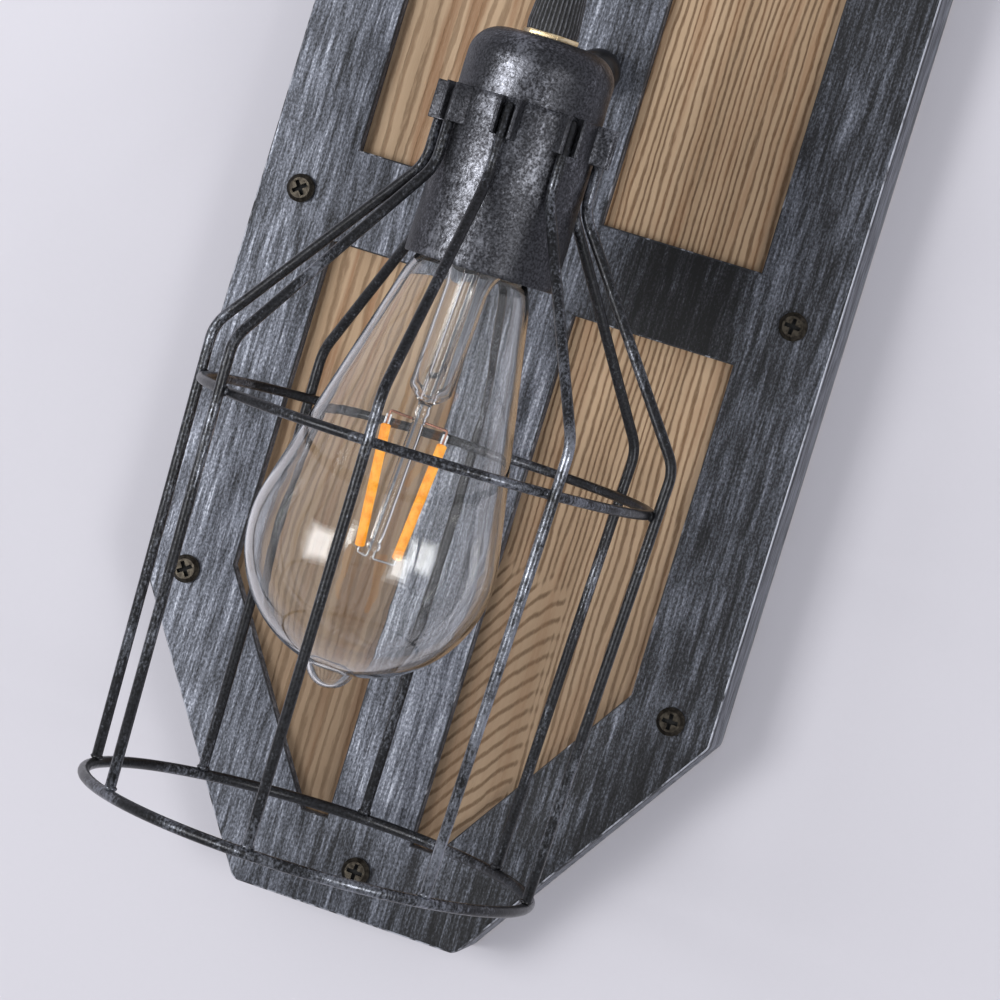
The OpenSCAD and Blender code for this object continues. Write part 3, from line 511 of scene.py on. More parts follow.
def dress(finish, *names):
    """Gives CAD nodes that keep their own solid a finish."""
    for name in names:
        mesh = nodes[name].data
        mesh.materials.clear()
        mesh.materials.append(finish.material)
    print(finish.material.name, "on", ", ".join(names))


def box_mm(node):
    return [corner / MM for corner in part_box(node)]


print("Form helpers ready")

# %% [markdown]
# ## Measures
#
# The pieces made here must sit where the solids sit. So their main sizes are read from the
# solids' own boxes, and only the finer ones, such as a bend or a rounding, are typed. The
# lamp's axis is the middle of the cap, and the bulb leans in its holder about the contact.

# %% Measures
cap_low, cap_high = box_mm("holder_cap")
AXIS_X, AXIS_Y = (cap_low.x + cap_high.x) / 2, (cap_low.y + cap_high.y) / 2
on_axis = Matrix.Translation((AXIS_X, AXIS_Y, 0))

BULB_LEAN = radians(3)
BULB_CONTACT_Z = 20
in_bulb = (Matrix.Translation((AXIS_X, AXIS_Y, BULB_CONTACT_Z))
           @ Matrix.Rotation(BULB_LEAN, 4, "Y"))

overlay_low, overlay_high = box_mm("overlay_frame")
HALF_W, HALF_H = overlay_high.x, overlay_high.z
OVERLAY_FRONT, OVERLAY_BACK = overlay_low.y, overlay_high.y
print("Lamp axis at", round(AXIS_X, 2), round(AXIS_Y, 2), "overlay front", OVERLAY_FRONT)

# %% [markdown]
# ## Overlay frame
#
# A thin frame is screwed over the board and leaves four windows of bare wood. It is painted
# black and then dry-brushed with silver along the board's length, and its cut edges are
# rubbed bright. Its colour also carries painted light: a painted sheen that makes it lighter
# on the left and darker on the right, and a painted shadow of the lamp's holder on the right
# of the cross bar. One quarter is drawn as eight plain faces round its window, mirrored
# twice, given its thickness and bevelled. The bevel gets its own finish, the rubbed edge.

# %% Overlay finish
BORDER, BAR_HALF, CROSS_HALF = 24.3, 12.25, 12.85
SIDE_TOP, END_HALF = 112.5, 32.5
CORNER_ROUND, EDGE_BEVEL = 3.0, 0.4
NEAR_MM = 0.01
cut_angle = atan2(HALF_W - END_HALF, HALF_H - SIDE_TOP)
PAINT_TONES = [(0.0, srgb(15, 15, 17)), (0.25, srgb(41, 42, 46)), (0.5, srgb(82, 85, 93)),
               (0.75, srgb(124, 128, 139)), (1.0, srgb(178, 182, 193))]


def overlay_paint():
    paint = Finish("dry_brushed_paint_and_shade", Specular_IOR_Level=0.28)
    spot = paint.place()
    x, y, z = spot.axes()
    hairs = paint.noise(spot.scaled(1.5, 0.8, 0.10), 1.0, 2.0, 0.6) - 0.5
    strokes = paint.noise(spot.scaled(0.6, 0.4, 0.045), 1.0, 2.0) - 0.5
    specks = paint.noise(spot.scaled(2.0, 1.5, 1.1), 1.0, 2.0, 0.6) - 0.5
    clouds = paint.noise(spot.scaled(0.05, 0.05, 0.03), 1.0, 2.0) - 0.5
    # Painted sheen: worn is the random amount of silver, plus a slope across x that paints the
    # key lamp's sheen, lighter on the left and darker on the right.
    worn = 0.49 - x * 0.0016 + clouds * 0.45
    # Painted shadow of the lamp's holder on the right part of the cross bar.
    holder_shadow_painted = x.ramp(12, 30) * (60.0 - x).ramp(0, 12) * (18.0 - z.abs()).ramp(0, 6)
    # Painted shade at the right foot and the right top, darker like the rest of the right side.
    painted_shade_foot = (-108.0 - z).ramp(0, 12) * x.ramp(14, 34)
    painted_shade_top = (z - 30.0).ramp(0, 50) * x.ramp(40, 60)
    # The next three only make places lighter or darker: the centre bar below the cross bar, the
    # middle of the left stile and the bottom end.
    bar_foot = (-10.0 - z).ramp(0, 30) * (18.0 - x.abs()).ramp(0, 6) * (z + 164.0).ramp(0, 6)
    dark_left = (62.0 - (z + 10).abs()).ramp(0, 40) * (-50.0 - x).ramp(0, 8)
    dark_bar = (-162.0 - z).ramp(0, 6)
    tone = (worn - holder_shadow_painted * 0.42 - painted_shade_foot * 0.14 - painted_shade_top * 0.08 - dark_left * 0.08
            - dark_bar * 0.10 + bar_foot * 0.14 + hairs * 0.95 + strokes * 0.75
            + specks * 1.05).clamp()
    colour = paint.node("ShaderNodeValToRGB", {"stops": PAINT_TONES}, tone)
    paint.set(Base_Color=colour, Roughness=0.58 - tone * 0.16, Metallic=tone * 0.5)
    paint.bump(hairs * 0.6 + specks * 0.4 + 0.5, 0.25)
    return paint


def rubbed_edge():
    paint = Finish("rubbed_edge", Specular_IOR_Level=0.4)
    spot = paint.place()
    x, y, z = spot.axes()
    cut = x.abs() * cos(cut_angle) + z.abs() * sin(cut_angle)
    cut_reach = HALF_W * cos(cut_angle) + SIDE_TOP * sin(cut_angle)
    outward = (x.abs() - HALF_W).max(z.abs() - HALF_H).max(cut - cut_reach)
    worn = (paint.noise(spot.scaled(0.3, 0.3, 0.15), 1.0, 4.0, 0.65)
            + (outward + 10).ramp(0, 4) * 0.14 + (x - 70.0).ramp(0, 8) * 0.12).ramp(0.54, 0.74)
    specks = paint.noise(spot.scaled(1.4, 1.4, 0.6), 1.0, 3.0)
    paint.set(Base_Color=paint.mix(worn * (specks * 0.5 + 0.65).clamp(), srgb(38, 39, 43),
                                   srgb(186, 189, 199)),
              Roughness=0.52 - worn * 0.14, Metallic=worn * 0.4)
    paint.bump(specks, 0.15)
    return paint


overlay_finish, edge_finish = overlay_paint(), rubbed_edge()

# %% Overlay frame
def side_corner(inset):
    return HALF_W - inset, SIDE_TOP - inset * tan(cut_angle / 2)


def end_corner(inset):
    return END_HALF - inset * tan((pi / 2 - cut_angle) / 2), HALF_H - inset


def overlay_quarter():
    """The right upper quarter, seen from the front, as faces round its window."""
    form = bmesh.new()
    side_out, side_in = side_corner(0), side_corner(BORDER)
    end_out, end_in = end_corner(0), end_corner(BORDER)
    known = {}

    def corner(point):
        if point not in known:
            known[point] = form.verts.new((point[0], OVERLAY_BACK, point[1]))
        return known[point]

    middle, right = (0, 0), (HALF_W, 0)
    bar_foot, stile_foot = (BAR_HALF, 0), (side_in[0], 0)
    cross_in, window_foot = (0, CROSS_HALF), (BAR_HALF, CROSS_HALF)
    window_side, cross_out = (side_in[0], CROSS_HALF), (HALF_W, CROSS_HALF)
    bar_top_in, window_top = (0, end_in[1]), (BAR_HALF, end_in[1])
    top_in, top_bar = (0, HALF_H), (BAR_HALF, HALF_H)
    for outline in (
            (middle, bar_foot, window_foot, cross_in),
            (bar_foot, stile_foot, window_side, window_foot),
            (stile_foot, right, cross_out, window_side),
            (cross_in, window_foot, window_top, bar_top_in),
            (bar_top_in, window_top, top_bar, top_in),
            (window_top, end_in, end_out, top_bar),
            (end_in, side_in, side_out, end_out),
            (window_side, cross_out, side_out, side_in)):
        form.faces.new([corner(point) for point in outline])
    return form


frame_form = overlay_quarter()
for flip in ("X", "Z"):
    bmesh.ops.mirror(frame_form, geom=frame_form.verts[:] + frame_form.edges[:]
                     + frame_form.faces[:], axis=flip, merge_dist=MERGE_MM)
bmesh.ops.remove_doubles(frame_form, verts=frame_form.verts, dist=MERGE_MM)
thickened(frame_form, (0, OVERLAY_FRONT - OVERLAY_BACK, 0))


def mirrored_near(value, wanted):
    return abs(abs(value) - wanted) < NEAR_MM


def corner_edges(form, corner):
    """The edges through the sheet at one corner and its three mirror images."""
    return [e for e in form.edges
            if all(mirrored_near(v.co.x, corner[0]) and mirrored_near(v.co.z, corner[1])
                   for v in e.verts)]


for corner, turn, steps in ((side_corner(0), cut_angle, 4),
                            (end_corner(0), pi / 2 - cut_angle, 5)):
    softened(frame_form, corner_edges(frame_form, corner), CORNER_ROUND * tan(turn / 2), steps)
front_edges = [e for e in sharp_edges(frame_form, 60)
               if all(abs(v.co.y - OVERLAY_FRONT) < NEAR_MM for v in e.verts)]
softened(frame_form, front_edges, EDGE_BEVEL, 2, worn=1)
light_piece("overlay", frame_form, "board", [overlay_finish, edge_finish],
            ["overlay_frame"], crisp=50)

# %% [markdown]
# ## Wooden board
#
# The board behind is softwood, oiled and brushed so that its dark grain stands out as lines
# two to three millimetres apart. The grain is made of sine waves across the board, pushed aside
# by slow noise. In the lower right window the plank shows arched grain, so there the waves
# run over slanted arches. The board's own edge is painted like the frame, which a mask on
# the surface's direction gives, because the solid keeps its mesh.

# %% Wood finish
def oiled_wood():
    wood = Finish("oiled_softwood", Specular_IOR_Level=0.3)
    spot = wood.place()
    x, y, z = spot.axes()
    drift = wood.noise(spot.scaled(0.03, 0.02, 0.004), 1.0, 2.0) - 0.5
    ripple = wood.noise(spot.scaled(0.3, 0.1, 0.035), 1.0, 2.0) - 0.5
    jitter = wood.noise(spot.scaled(1.2, 0.3, 0.3), 1.0, 2.0) - 0.5
    rings = x.max(0.0) / 1.9 + x.min(0.0) / 3.1
    straight = ((rings + drift * 6 + ripple * 1.1 + jitter * 0.25) * (2 * pi)).sin() * 0.5 + 0.5
    arch_foot = x - 10.0
    arch_reach = z - x * 1.75 + (arch_foot * arch_foot) * 0.017
    arches = ((arch_reach + drift * 16 + ripple * 2.6 + jitter * 0.5) * (2 * pi / 5.2)
              ).sin() * 0.5 + 0.5
    in_arches = ((x - 6).ramp(0, 4) * (34.0 - x + ripple * 6).ramp(0, 3)
                 * (-72.0 - z - x * 0.25 + ripple * 14).ramp(0, 10) * (-8.0 - y).ramp(0, 3))
    lines = straight ** 1.3
    grain = lines + (arches ** 2.2 - lines) * in_arches
    fibres = wood.noise(spot.scaled(3.0, 1.0, 0.10), 1.0, 3.0, 0.6)
    bands = wood.noise(spot.scaled(0.11, 0.05, 0.006), 1.0, 2.0)
    rust = wood.noise(spot.scaled(0.22, 0.1, 0.012), 1.0, 2.0).ramp(0.50, 0.66)
    pores = wood.noise(spot.scaled(2.2, 1.0, 0.5), 1.0, 3.0)
    late = (grain * 0.75 + fibres * 0.7 - 0.26).ramp(0.34, 0.88)
    right = x.ramp(-8, 10)
    depth = 0.62 + right * 0.33
    pale = wood.mix(bands.ramp(0.3, 0.7), srgb(168, 140, 110), srgb(196, 168, 137))
    dark = wood.mix(bands.ramp(0.35, 0.65), srgb(92, 66, 42), srgb(112, 84, 57))
    tone = wood.mix(late * depth, pale, dark)
    tone = wood.mix(rust * (0.66 - right * 0.3) * (1 - late * 0.3), tone, srgb(134, 88, 50))
    tone = wood.mix(fibres.ramp(0.45, 0.7) * 0.25 + pores.ramp(0.45, 0.7) * 0.12, tone,
                    srgb(188, 166, 138))
    tone = wood.mix((-20.0 - z).ramp(0, 90) * 0.5, tone, srgb(84, 68, 52))
    painted = (0.5 - wood.normal()[1].abs()).ramp(-0.02, 0.02)
    grime = wood.noise(spot.scaled(0.8, 0.8, 0.12), 1.0, 4.0, 0.6)
    paint = wood.mix(grime.ramp(0.35, 0.65), srgb(70, 71, 77), srgb(128, 131, 140))
    wood.set(Base_Color=wood.mix(painted, tone, paint), Roughness=0.55 + late * 0.15)
    wood.bump((1 - late) * 0.6 + fibres * 0.4, 0.35, 0.9)
    return wood


wood_finish = oiled_wood()
dress(wood_finish, "wood_board")

# %% [markdown]
# ## Metal and plastic finishes
#
# The screws are dark bronze, and the cross in each is painted black as shade. The bracket
# behind the board and the threaded parts are zinc plated. The arm and the ball nuts have
# satin black enamel, and the holder and the cage are black with silver rubbed over them; the
# cage's wires also carry a painted highlight on the front right. Each finish gets its colour
# from two tones mixed by noise, and its roughness and a fine bump from noise of another scale.

# %% Small finishes
def plain_finish(name, dark, light, scale, rough, metal=0.0, grain_mm=0.04, stretch=(1, 1, 1),
                 spread=0.12, **constants):
    """A finish of two near tones with uneven gloss and a fine grain."""
    finish = Finish(name, Metallic=metal, **constants)
    spot = finish.place().scaled(*stretch)
    cloud = finish.noise(spot, scale, 3.0)
    grain = finish.noise(spot, scale * 7, 2.0)
    finish.set(Base_Color=finish.mix(cloud.ramp(0.3, 0.7), srgb(*dark), srgb(*light)),
               Roughness=rough + (cloud - 0.5) * spread * 2)
    finish.bump(grain * 0.6 + cloud * 0.4, grain_mm)
    return finish


zinc = plain_finish("zinc_plate", (150, 152, 156), (196, 198, 202), 0.25, 0.34, metal=1.0)
enamel = plain_finish("black_enamel", (22, 22, 24), (38, 38, 41), 0.35, 0.36, grain_mm=0.05)
nylon = plain_finish("white_nylon", (196, 194, 186), (222, 221, 215), 0.3, 0.45)
brass = plain_finish("plain_brass", (206, 178, 130), (240, 222, 186), 0.5, 0.3, metal=1.0,
                     stretch=(1, 1, 3))
brown_lead = plain_finish("brown_insulation", (78, 42, 26), (104, 60, 38), 0.6, 0.4)
rubber = plain_finish("moulded_black", (16, 16, 17), (34, 34, 36), 0.8, 0.5, grain_mm=0.06)
porcelain = plain_finish("porcelain_glaze", (222, 219, 208), (240, 238, 230), 0.2, 0.12,
                         grain_mm=0.02, spread=0.04, Coat_Weight=0.5, Coat_Roughness=0.05)
solder = plain_finish("solder", (140, 140, 142), (190, 190, 192), 0.8, 0.35, metal=1.0,
                      grain_mm=0.12)
black_glass = plain_finish("base_glass", (14, 14, 18), (26, 26, 32), 0.3, 0.1, spread=0.03)
base_metal = plain_finish("bulb_base_metal", (170, 166, 156), (206, 202, 192), 0.4, 0.28,
                          metal=1.0)
copper = plain_finish("copper_wire", (138, 94, 78), (184, 138, 116), 1.5, 0.35, metal=0.8)

dress(zinc, "wall_bracket", "bracket_studs", "threaded_nipple", "lock_nut")
dress(nylon, "terminal_block")
dress(brass, "terminal_screws", "earth_screw", "insert_screws", "thread_shell",
      "centre_contact")
dress(brown_lead, "supply_leads", "lamp_leads")


def worn_bronze_shaded_cross(name, face_y):
    """Dark bronze whose cross recess, below a screw face at a depth, is painted black as shade.
    """
    bronze = Finish(name)
    spot = bronze.place()
    y, facing = spot.axes()[1], bronze.normal()[1].abs()
    # Painted shade: the walls and the floor of the cross recess are painted black.
    walls = (0.4 - facing).ramp(0.0, 0.1) * (face_y + 1.08 - y).ramp(0.0, 0.05)
    floor = (facing - 0.9).ramp(0.0, 0.05) * (y - face_y - 0.8).ramp(0.0, 0.2)
    cloud = bronze.noise(spot, 0.9, 3.0)
    grain = bronze.noise(spot, 5.0, 2.0)
    cross = walls.max(floor)
    tone = bronze.mix(cloud.ramp(0.35, 0.65), srgb(50, 46, 41), srgb(76, 71, 63))
    bronze.set(Base_Color=bronze.mix(cross, tone, srgb(6, 6, 6)),
               Metallic=1 - cross, Roughness=0.28 + cloud * 0.1 + cross * 0.5)
    bronze.bump(grain * 0.6 + cloud * 0.4, 0.04)
    return bronze


for screws in ("overlay_screws", "arm_plate_screws"):
    dress(worn_bronze_shaded_cross("bronze_of_" + screws, box_mm(screws)[0].y), screws)


# %% Rubbed black
SILVER_AT = (0.50, 0.84)


def rubbed_black(name, grain_mm, tones, fleck_stretch, metal, rough, depth_mm, lit=0.0):
    """Dark metallic paint with a fine grain and silver rubbed over some places. With lit, it
    also paints a highlight on the front right, below the shoulders.
    """
    paint = Finish(name)
    spot = paint.place()
    x, y, z = spot.axes()
    grain = paint.noise(spot, 0.5 / grain_mm, 2.0, 0.6)
    dents = paint.noise(spot, 0.28, 2.0)
    flecks = paint.noise(spot.scaled(*fleck_stretch), 1.0, 3.0, 0.65)
    patches = paint.noise(spot.scaled(0.06, 0.06, 0.035), 1.0, 2.0)
    # Painted highlight: with lit, silver is added on the front right of the cage below the
    # shoulders, where the wires catch the light.
    lit_side = ((0.62 - (paint.round_axis() + pi / 4).abs()).ramp(0, 0.3)
                * (-22.0 - z).ramp(0, 30) * lit)
    silver_and_highlight = (flecks * 0.55 + grain * 0.35 + patches * 0.8 - 0.35 + lit_side).ramp(*SILVER_AT)
    low, high, rubbed = tones
    tone = paint.mix(grain.ramp(0.3, 0.7), srgb(*low), srgb(*high))
    paint.set(Base_Color=paint.mix(silver_and_highlight, tone, srgb(*rubbed)),
              Roughness=rough + (dents - 0.5) * 0.16 - silver_and_highlight * 0.06,
              Metallic=silver_and_highlight * (1 - metal) * 0.8 + metal)
    paint.bump(grain * 0.45 + dents * 0.55, depth_mm)
    return paint


hammered = rubbed_black("hammered_black", 0.32, ((44, 44, 47), (78, 79, 84), (146, 148, 156)),
                        (0.9, 0.9, 0.5), 0.85, 0.42, 0.24)
wire_paint = rubbed_black("rubbed_wire_and_highlight", 0.35, ((18, 18, 19), (44, 45, 49), (150, 154, 164)),
                          (1.5, 1.5, 0.35), 0.5, 0.32, 0.12, lit=0.12)
print("Rubbed finishes ready")

# %% [markdown]
# ## Ball nuts
#
# Two black ball nuts on the bracket's studs hold the board to the wall bracket. Each is a
# ball with a flat foot, turned from one outline.

# %% Ball nuts
nut_low, nut_high = box_mm("ball_nuts")
BALL_R, BALL_CENTRE = 6.3, 4.6
facing_front = Matrix.Rotation(pi / 2, 4, "X")
ball_foot = degrees(asin(BALL_CENTRE / BALL_R))
ball_outline = [(0, 0.2)] + arc((0, BALL_CENTRE), BALL_R, -ball_foot, 90, 14)
ball_form = bmesh.new()
for height in (nut_low.z + BALL_R, nut_high.z - BALL_R):
    add_form(ball_form, turned(ball_outline, 40),
             Matrix.Translation((0, OVERLAY_FRONT, height)) @ facing_front)
light_piece("ball_nut_pair", ball_form, "board", [enamel], ["ball_nuts"])

# %% [markdown]
# ## Arm
#
# A satin black tube leaves the board under a long plate, rises and swings over like a swan's
# neck. Its open end points down and carries a bell-mouthed bushing, from which the lamp's
# cord comes out. The tube is one circle, drawn straight and swung round its three bends.

# %% Arm
tube_high = box_mm("arm_tube")[1]
plate_low, plate_high = box_mm("arm_plate")
bush_low, bush_high = box_mm("arm_bushing")
TUBE_R, TUBE_WALL = tube_high.x, 1.5
ARM_Z = (plate_low.z + plate_high.z) / 2
ARM_TOP = tube_high.z - TUBE_R
ARM_FRONT = 46.0
ARM_BENDS = (16, (-AXIS_Y - ARM_FRONT) / 2, (-AXIS_Y - ARM_FRONT) / 2)
arm_route = [(14, ARM_Z), (ARM_FRONT, ARM_Z), (ARM_FRONT, ARM_TOP), (-AXIS_Y, ARM_TOP),
             (-AXIS_Y, bush_low.z + 6.3)]
to_side_plane = Matrix.Rotation(-pi / 2, 4, "Z")
neck_form = bent_wire(arm_route, ARM_BENDS, TUBE_R, 36, 14, bore=TUBE_R - TUBE_WALL)
light_piece("swan_neck", neck_form, "board", [enamel], ["arm_tube"],
            place=to_side_plane)


def slot_outline(half_w, half_h, steps=16):
    """A plate with half-round ends."""
    reach = half_h - half_w
    return arc((0, reach), half_w, 0, 180, steps) + arc((0, -reach), half_w, 180, 360, steps)


plate_form = sheet_form(slot_outline(plate_high.x, plate_high.z - ARM_Z),
                        plate_high.y - plate_low.y)
softened(plate_form, [e for e in sharp_edges(plate_form, 60)
                      if all(v.co.z > 0.1 for v in e.verts)], 0.7, 3)
light_piece("foot_plate", plate_form, "board", [enamel], ["arm_plate"],
            place=Matrix.Translation((0, OVERLAY_FRONT, ARM_Z)) @ facing_front)

BUSH_R, BELL_R, THROAT_R = (bush_high.x - bush_low.x) / 2, 5.5, 3.4
foot = bush_low.z
bush_outline = ([(BELL_R, foot + 0.5)] + arc((BELL_R + 0.7, foot + 0.7), 0.7, 200, 270, 4)
                + arc((BUSH_R - 1.2, foot + 1.2), 1.2, 270, 360, 5)
                + [(BUSH_R, foot + 4), (BUSH_R - 0.5, foot + 4.4),
                   (BUSH_R - 0.5, foot + 5.2), (BUSH_R, foot + 5.6)]
                + arc((BUSH_R - 0.8, bush_high.z - 0.8), 0.8, 0, 90, 4)
                + [(TUBE_R + 0.1, bush_high.z), (TUBE_R + 0.1, foot + 6.2),
                   (THROAT_R, foot + 6)]
                + [(THROAT_R + (BELL_R - THROAT_R) * (i / 6) ** 2, foot + 6 - 5.5 * i / 6)
                   for i in range(7)])
light_piece("arm_bush", turned(bush_outline, 64), "board", [rubber],
            ["arm_bushing"], place=on_axis)

# %% [markdown]
# ## Cord
#
# A short black cord carries the lamp. It comes out of the arm's bushing and goes into the
# grip, and it is covered with braided cotton. The braid is drawn by two families of waves
# that wind round the cord in opposite directions, which needs the angle round its axis, so
# the finish works it out from the object coordinates and the axis' own place.

# %% Braid finish
BRAID_STRANDS, BRAID_PITCH = 8.0, 2.4


def cotton_braid():
    cotton = Finish("cotton_braid", Roughness=0.9, Specular_IOR_Level=0.2,
                    Sheen_Weight=0.35)
    x, y, z = cotton.place().axes()
    strands = cotton.round_axis() * BRAID_STRANDS
    rise = z * (2 * pi / BRAID_PITCH)
    left, right = (strands + rise).sin(), (strands - rise).sin()
    over = (strands / 2 + rise / 2).sin() * (strands / 2 - rise / 2).sin()
    weave = left.max(right) * 0.5 + 0.5
    cotton.set(Base_Color=cotton.mix((weave * 0.7 + over * 0.3).clamp(), srgb(12, 12, 13),
                                     srgb(40, 40, 43)))
    cotton.bump(weave, 0.3)
    return cotton


braid = cotton_braid()
cord_low, cord_high = box_mm("drop_cord")
CORD_R = (cord_high.x - cord_low.x) / 2
cord_outline = (arc((0, cord_low.z + CORD_R), CORD_R, -90, 0, 6)
                + arc((0, cord_high.z - CORD_R), CORD_R, 0, 90, 6))
light_piece("carrying_cord", turned(cord_outline, 32), "cord", [braid],
            ["drop_cord"], place=on_axis)
dress(braid, "arm_cable", "lamp_cable")

# %% [markdown]
# ## Cord grip and brass nut
#
# The grip is a tapered plug with fine upright ribs, so that fingers can tighten it on the
# cord. It is turned smooth with many steps, and each point is then moved in or out by a wave
# round the axis. Below it a thin brass hexagon locks the holder: a six-sided circle, drawn
# up, with its sharp corners taken off.

# %% Grip and nut
grip_low, grip_high = box_mm("cord_grip")
GRIP_FOOT_R, GRIP_TOP_R = (grip_high.x - grip_low.x) / 2, 4.8
GRIP_RIBS, RIB_DEPTH = 34, 0.16


def grip_form():
    foot, top = grip_low.z, grip_high.z
    side = [(GRIP_FOOT_R + (GRIP_TOP_R - GRIP_FOOT_R) * i / 12, foot + (top - foot) * i / 12)
            for i in range(13)]
    outline = ([(5.1, foot + 0.02), (GRIP_FOOT_R - 0.4, foot + 0.02)] + side[1:-1]
               + [(GRIP_TOP_R - 0.1, top - 0.5), (GRIP_TOP_R - 0.5, top - 0.1),
                  (4.1, top - 0.1), (3.45, top - 2.1), (3.45, top - 6)])
    form = turned(outline, GRIP_RIBS * 8)
    for vert in form.verts:
        reach = vert.co.xy.length
        if reach > 4.4 and foot + 1 < vert.co.z < top - 0.6:
            wave = cos(GRIP_RIBS * atan2(vert.co.y, vert.co.x))
            vert.co.xy *= (reach - RIB_DEPTH + RIB_DEPTH * wave) / reach
    return form


def ribbed_rubber():
    """Black plastic whose rib crests are painted grey as highlight lines."""
    plastic = Finish("ribbed_plastic", Specular_IOR_Level=0.45)
    # Painted highlight along each rib's crest; the noise called rubbed only breaks it up.
    crest = ((plastic.round_axis() * GRIP_RIBS + pi / 2).sin() * 0.5 + 0.5).ramp(0.5, 1.0)
    rubbed = plastic.noise(plastic.place().scaled(1.6, 1.6, 0.8), 1.0, 3.0, 0.6).ramp(0.38, 0.62)
    plastic.set(Base_Color=plastic.mix(crest * (rubbed * 0.7 + 0.3), srgb(15, 15, 16),
                                       srgb(96, 97, 102)),
                Roughness=0.5 - crest * 0.12)
    plastic.bump(rubbed, 0.08)
    return plastic


light_piece("ribbed_grip", grip_form(), "lamp", [ribbed_rubber()], ["cord_grip"],
            place=on_axis, crisp=60)

hex_low, hex_high = box_mm("brass_nut")
NUT_CORNERS, NUT_TURN = 15.3, radians(-5)
nut_form = bmesh.new()
bmesh.ops.create_circle(nut_form, cap_ends=True, segments=6, radius=NUT_CORNERS / 2,
                        matrix=Matrix.Rotation(NUT_TURN + pi / 2, 4, "Z"))
drawn_faces(nut_form, (0, 0, hex_high.z - hex_low.z))
softened(nut_form, [e for e in nut_form.edges if abs(e.verts[0].co.z - e.verts[1].co.z) > 0.5],
         0.25, 2)
softened(nut_form, sharp_edges(nut_form, 60), 0.18, 2)
light_piece("hexagon_nut", nut_form, "lamp", [brass], ["brass_nut"],
            place=on_axis @ Matrix.Translation((0, 0, hex_low.z)), crisp=50)

# %% [markdown]
# ## Holder cap and cage collar
#
# The cap is a spun steel cup with a wide round shoulder and a skirt that goes down into the
# collar. The collar is a steel band on which the cage hangs: each wire stands between two
# pressed ribs. Both are hammered a little, so after turning, their points are moved by soft
# noise. The ribs are small bent sheets with round edges, set round the band at the wires'
# places, and no two of them are quite alike.

# %% Cap
CAP_R, CAP_BORE, SHOULDER = 19.1, 5.2, 8.0
CAP_TOP = cap_high.z
collar_low, collar_high = box_mm("cage_collar")
COLLAR_R, COLLAR_WALL = 19.8, 1.0
SKIRT_R = COLLAR_R - COLLAR_WALL - 0.3


def hammered_form(form, reach_mm, scale, above_r):
    """Moves the outer points in and out a little, as a hammer leaves them."""
    for vert in form.verts:
        out = vert.co.xy.length
        if out > above_r:
            push = noise.noise(vert.co * scale) * reach_mm
            vert.co.xy *= (out + push - reach_mm * 0.4) / out


cap_form = turned(
    [(CAP_BORE, CAP_TOP - 2), (CAP_BORE, CAP_TOP)]
    + [(CAP_BORE + (CAP_R - SHOULDER - CAP_BORE) * i / 4, CAP_TOP) for i in range(1, 4)]
    + arc((CAP_R - SHOULDER, CAP_TOP - SHOULDER), SHOULDER, 90, 0, 14)
    + [(CAP_R, CAP_TOP - SHOULDER - i) for i in range(1, 9)]
    + [(CAP_R, collar_high.z + 0.05), (SKIRT_R, collar_high.z + 0.05), (SKIRT_R, cap_low.z),
       (SKIRT_R - 1, cap_low.z), (SKIRT_R - 1, CAP_TOP - 9.5)]
    + arc((SKIRT_R - 8, CAP_TOP - 9), 7, 0, 90, 8), 128)
hammered_form(cap_form, 0.16, 0.16, CAP_R - 6)
light_piece("spun_cap", cap_form, "lamp", [hammered], ["holder_cap"],
            place=on_axis, crisp=45)

# %% Collar
WIRE_COUNT = 8
RIB_OUT, RIB_H, RIB_T, RIB_GAP = 4.4, 10.0, 1.2, 3.4
WIRE_AXIS_R = COLLAR_R + 1.7


def wire_angle(i):
    """The wires start at the front and go round towards the right."""
    return radians(i * 360 / WIRE_COUNT - 90)


def rib_form(thickness, out, height):
    """One pressed rib, standing out along X: its plan is drawn up, then its rims softened."""
    root, half = COLLAR_R - 0.7, thickness / 2
    plan = ([(root, -half - 0.5), (COLLAR_R + 0.15, -half - 0.25), (COLLAR_R + 0.8, -half)]
            + arc((COLLAR_R + out - half, 0), half, -90, 90, 6)
            + [(COLLAR_R + 0.8, half), (COLLAR_R + 0.15, half + 0.25), (root, half + 0.5)])
    form = sheet_form(plan, height)
    softened(form, [e for e in sharp_edges(form, 60)
                    if abs(e.verts[0].co.z - e.verts[1].co.z) < 0.01], 0.22, 2)
    return form


def collar_form():
    low, high = collar_low.z, collar_high.z
    steps = 30
    outer = [(COLLAR_R, low + 0.3 + (high - low - 0.6) * i / steps) for i in range(steps + 1)]
    form = turned([(COLLAR_R - COLLAR_WALL, low + 0.2), (COLLAR_R - 0.75, low),
                   (COLLAR_R - 0.25, low)] + outer
                  + [(COLLAR_R - 0.25, high), (COLLAR_R - 0.75, high),
                     (COLLAR_R - COLLAR_WALL, high - 0.2)], 160, closed=True)
    hammered_form(form, 0.28, 0.11, COLLAR_R - 0.3)
    for i in range(WIRE_COUNT):
        for side in (-1, 1):
            key = Vector((i * 3.1, side * 1.7, 0.3))
            odd, odder = noise.noise(key), noise.noise(key * 2.3)
            rib = rib_form(RIB_T + odd * 0.15, RIB_OUT + odder * 0.2 - 0.25, RIB_H + odd * 0.6)
            beside = side * (RIB_GAP + RIB_T) / 2
            add_form(form, rib, Matrix.Rotation(wire_angle(i), 4, "Z")
                     @ Matrix.Translation((0, beside, high - RIB_H - odd * 0.6))
                     @ Matrix.Rotation(radians(1.5 * odder), 4, "X"))
    return form


light_piece("cage_band", collar_form(), "lamp", [hammered],
            ["cage_collar"], place=on_axis, crisp=45)

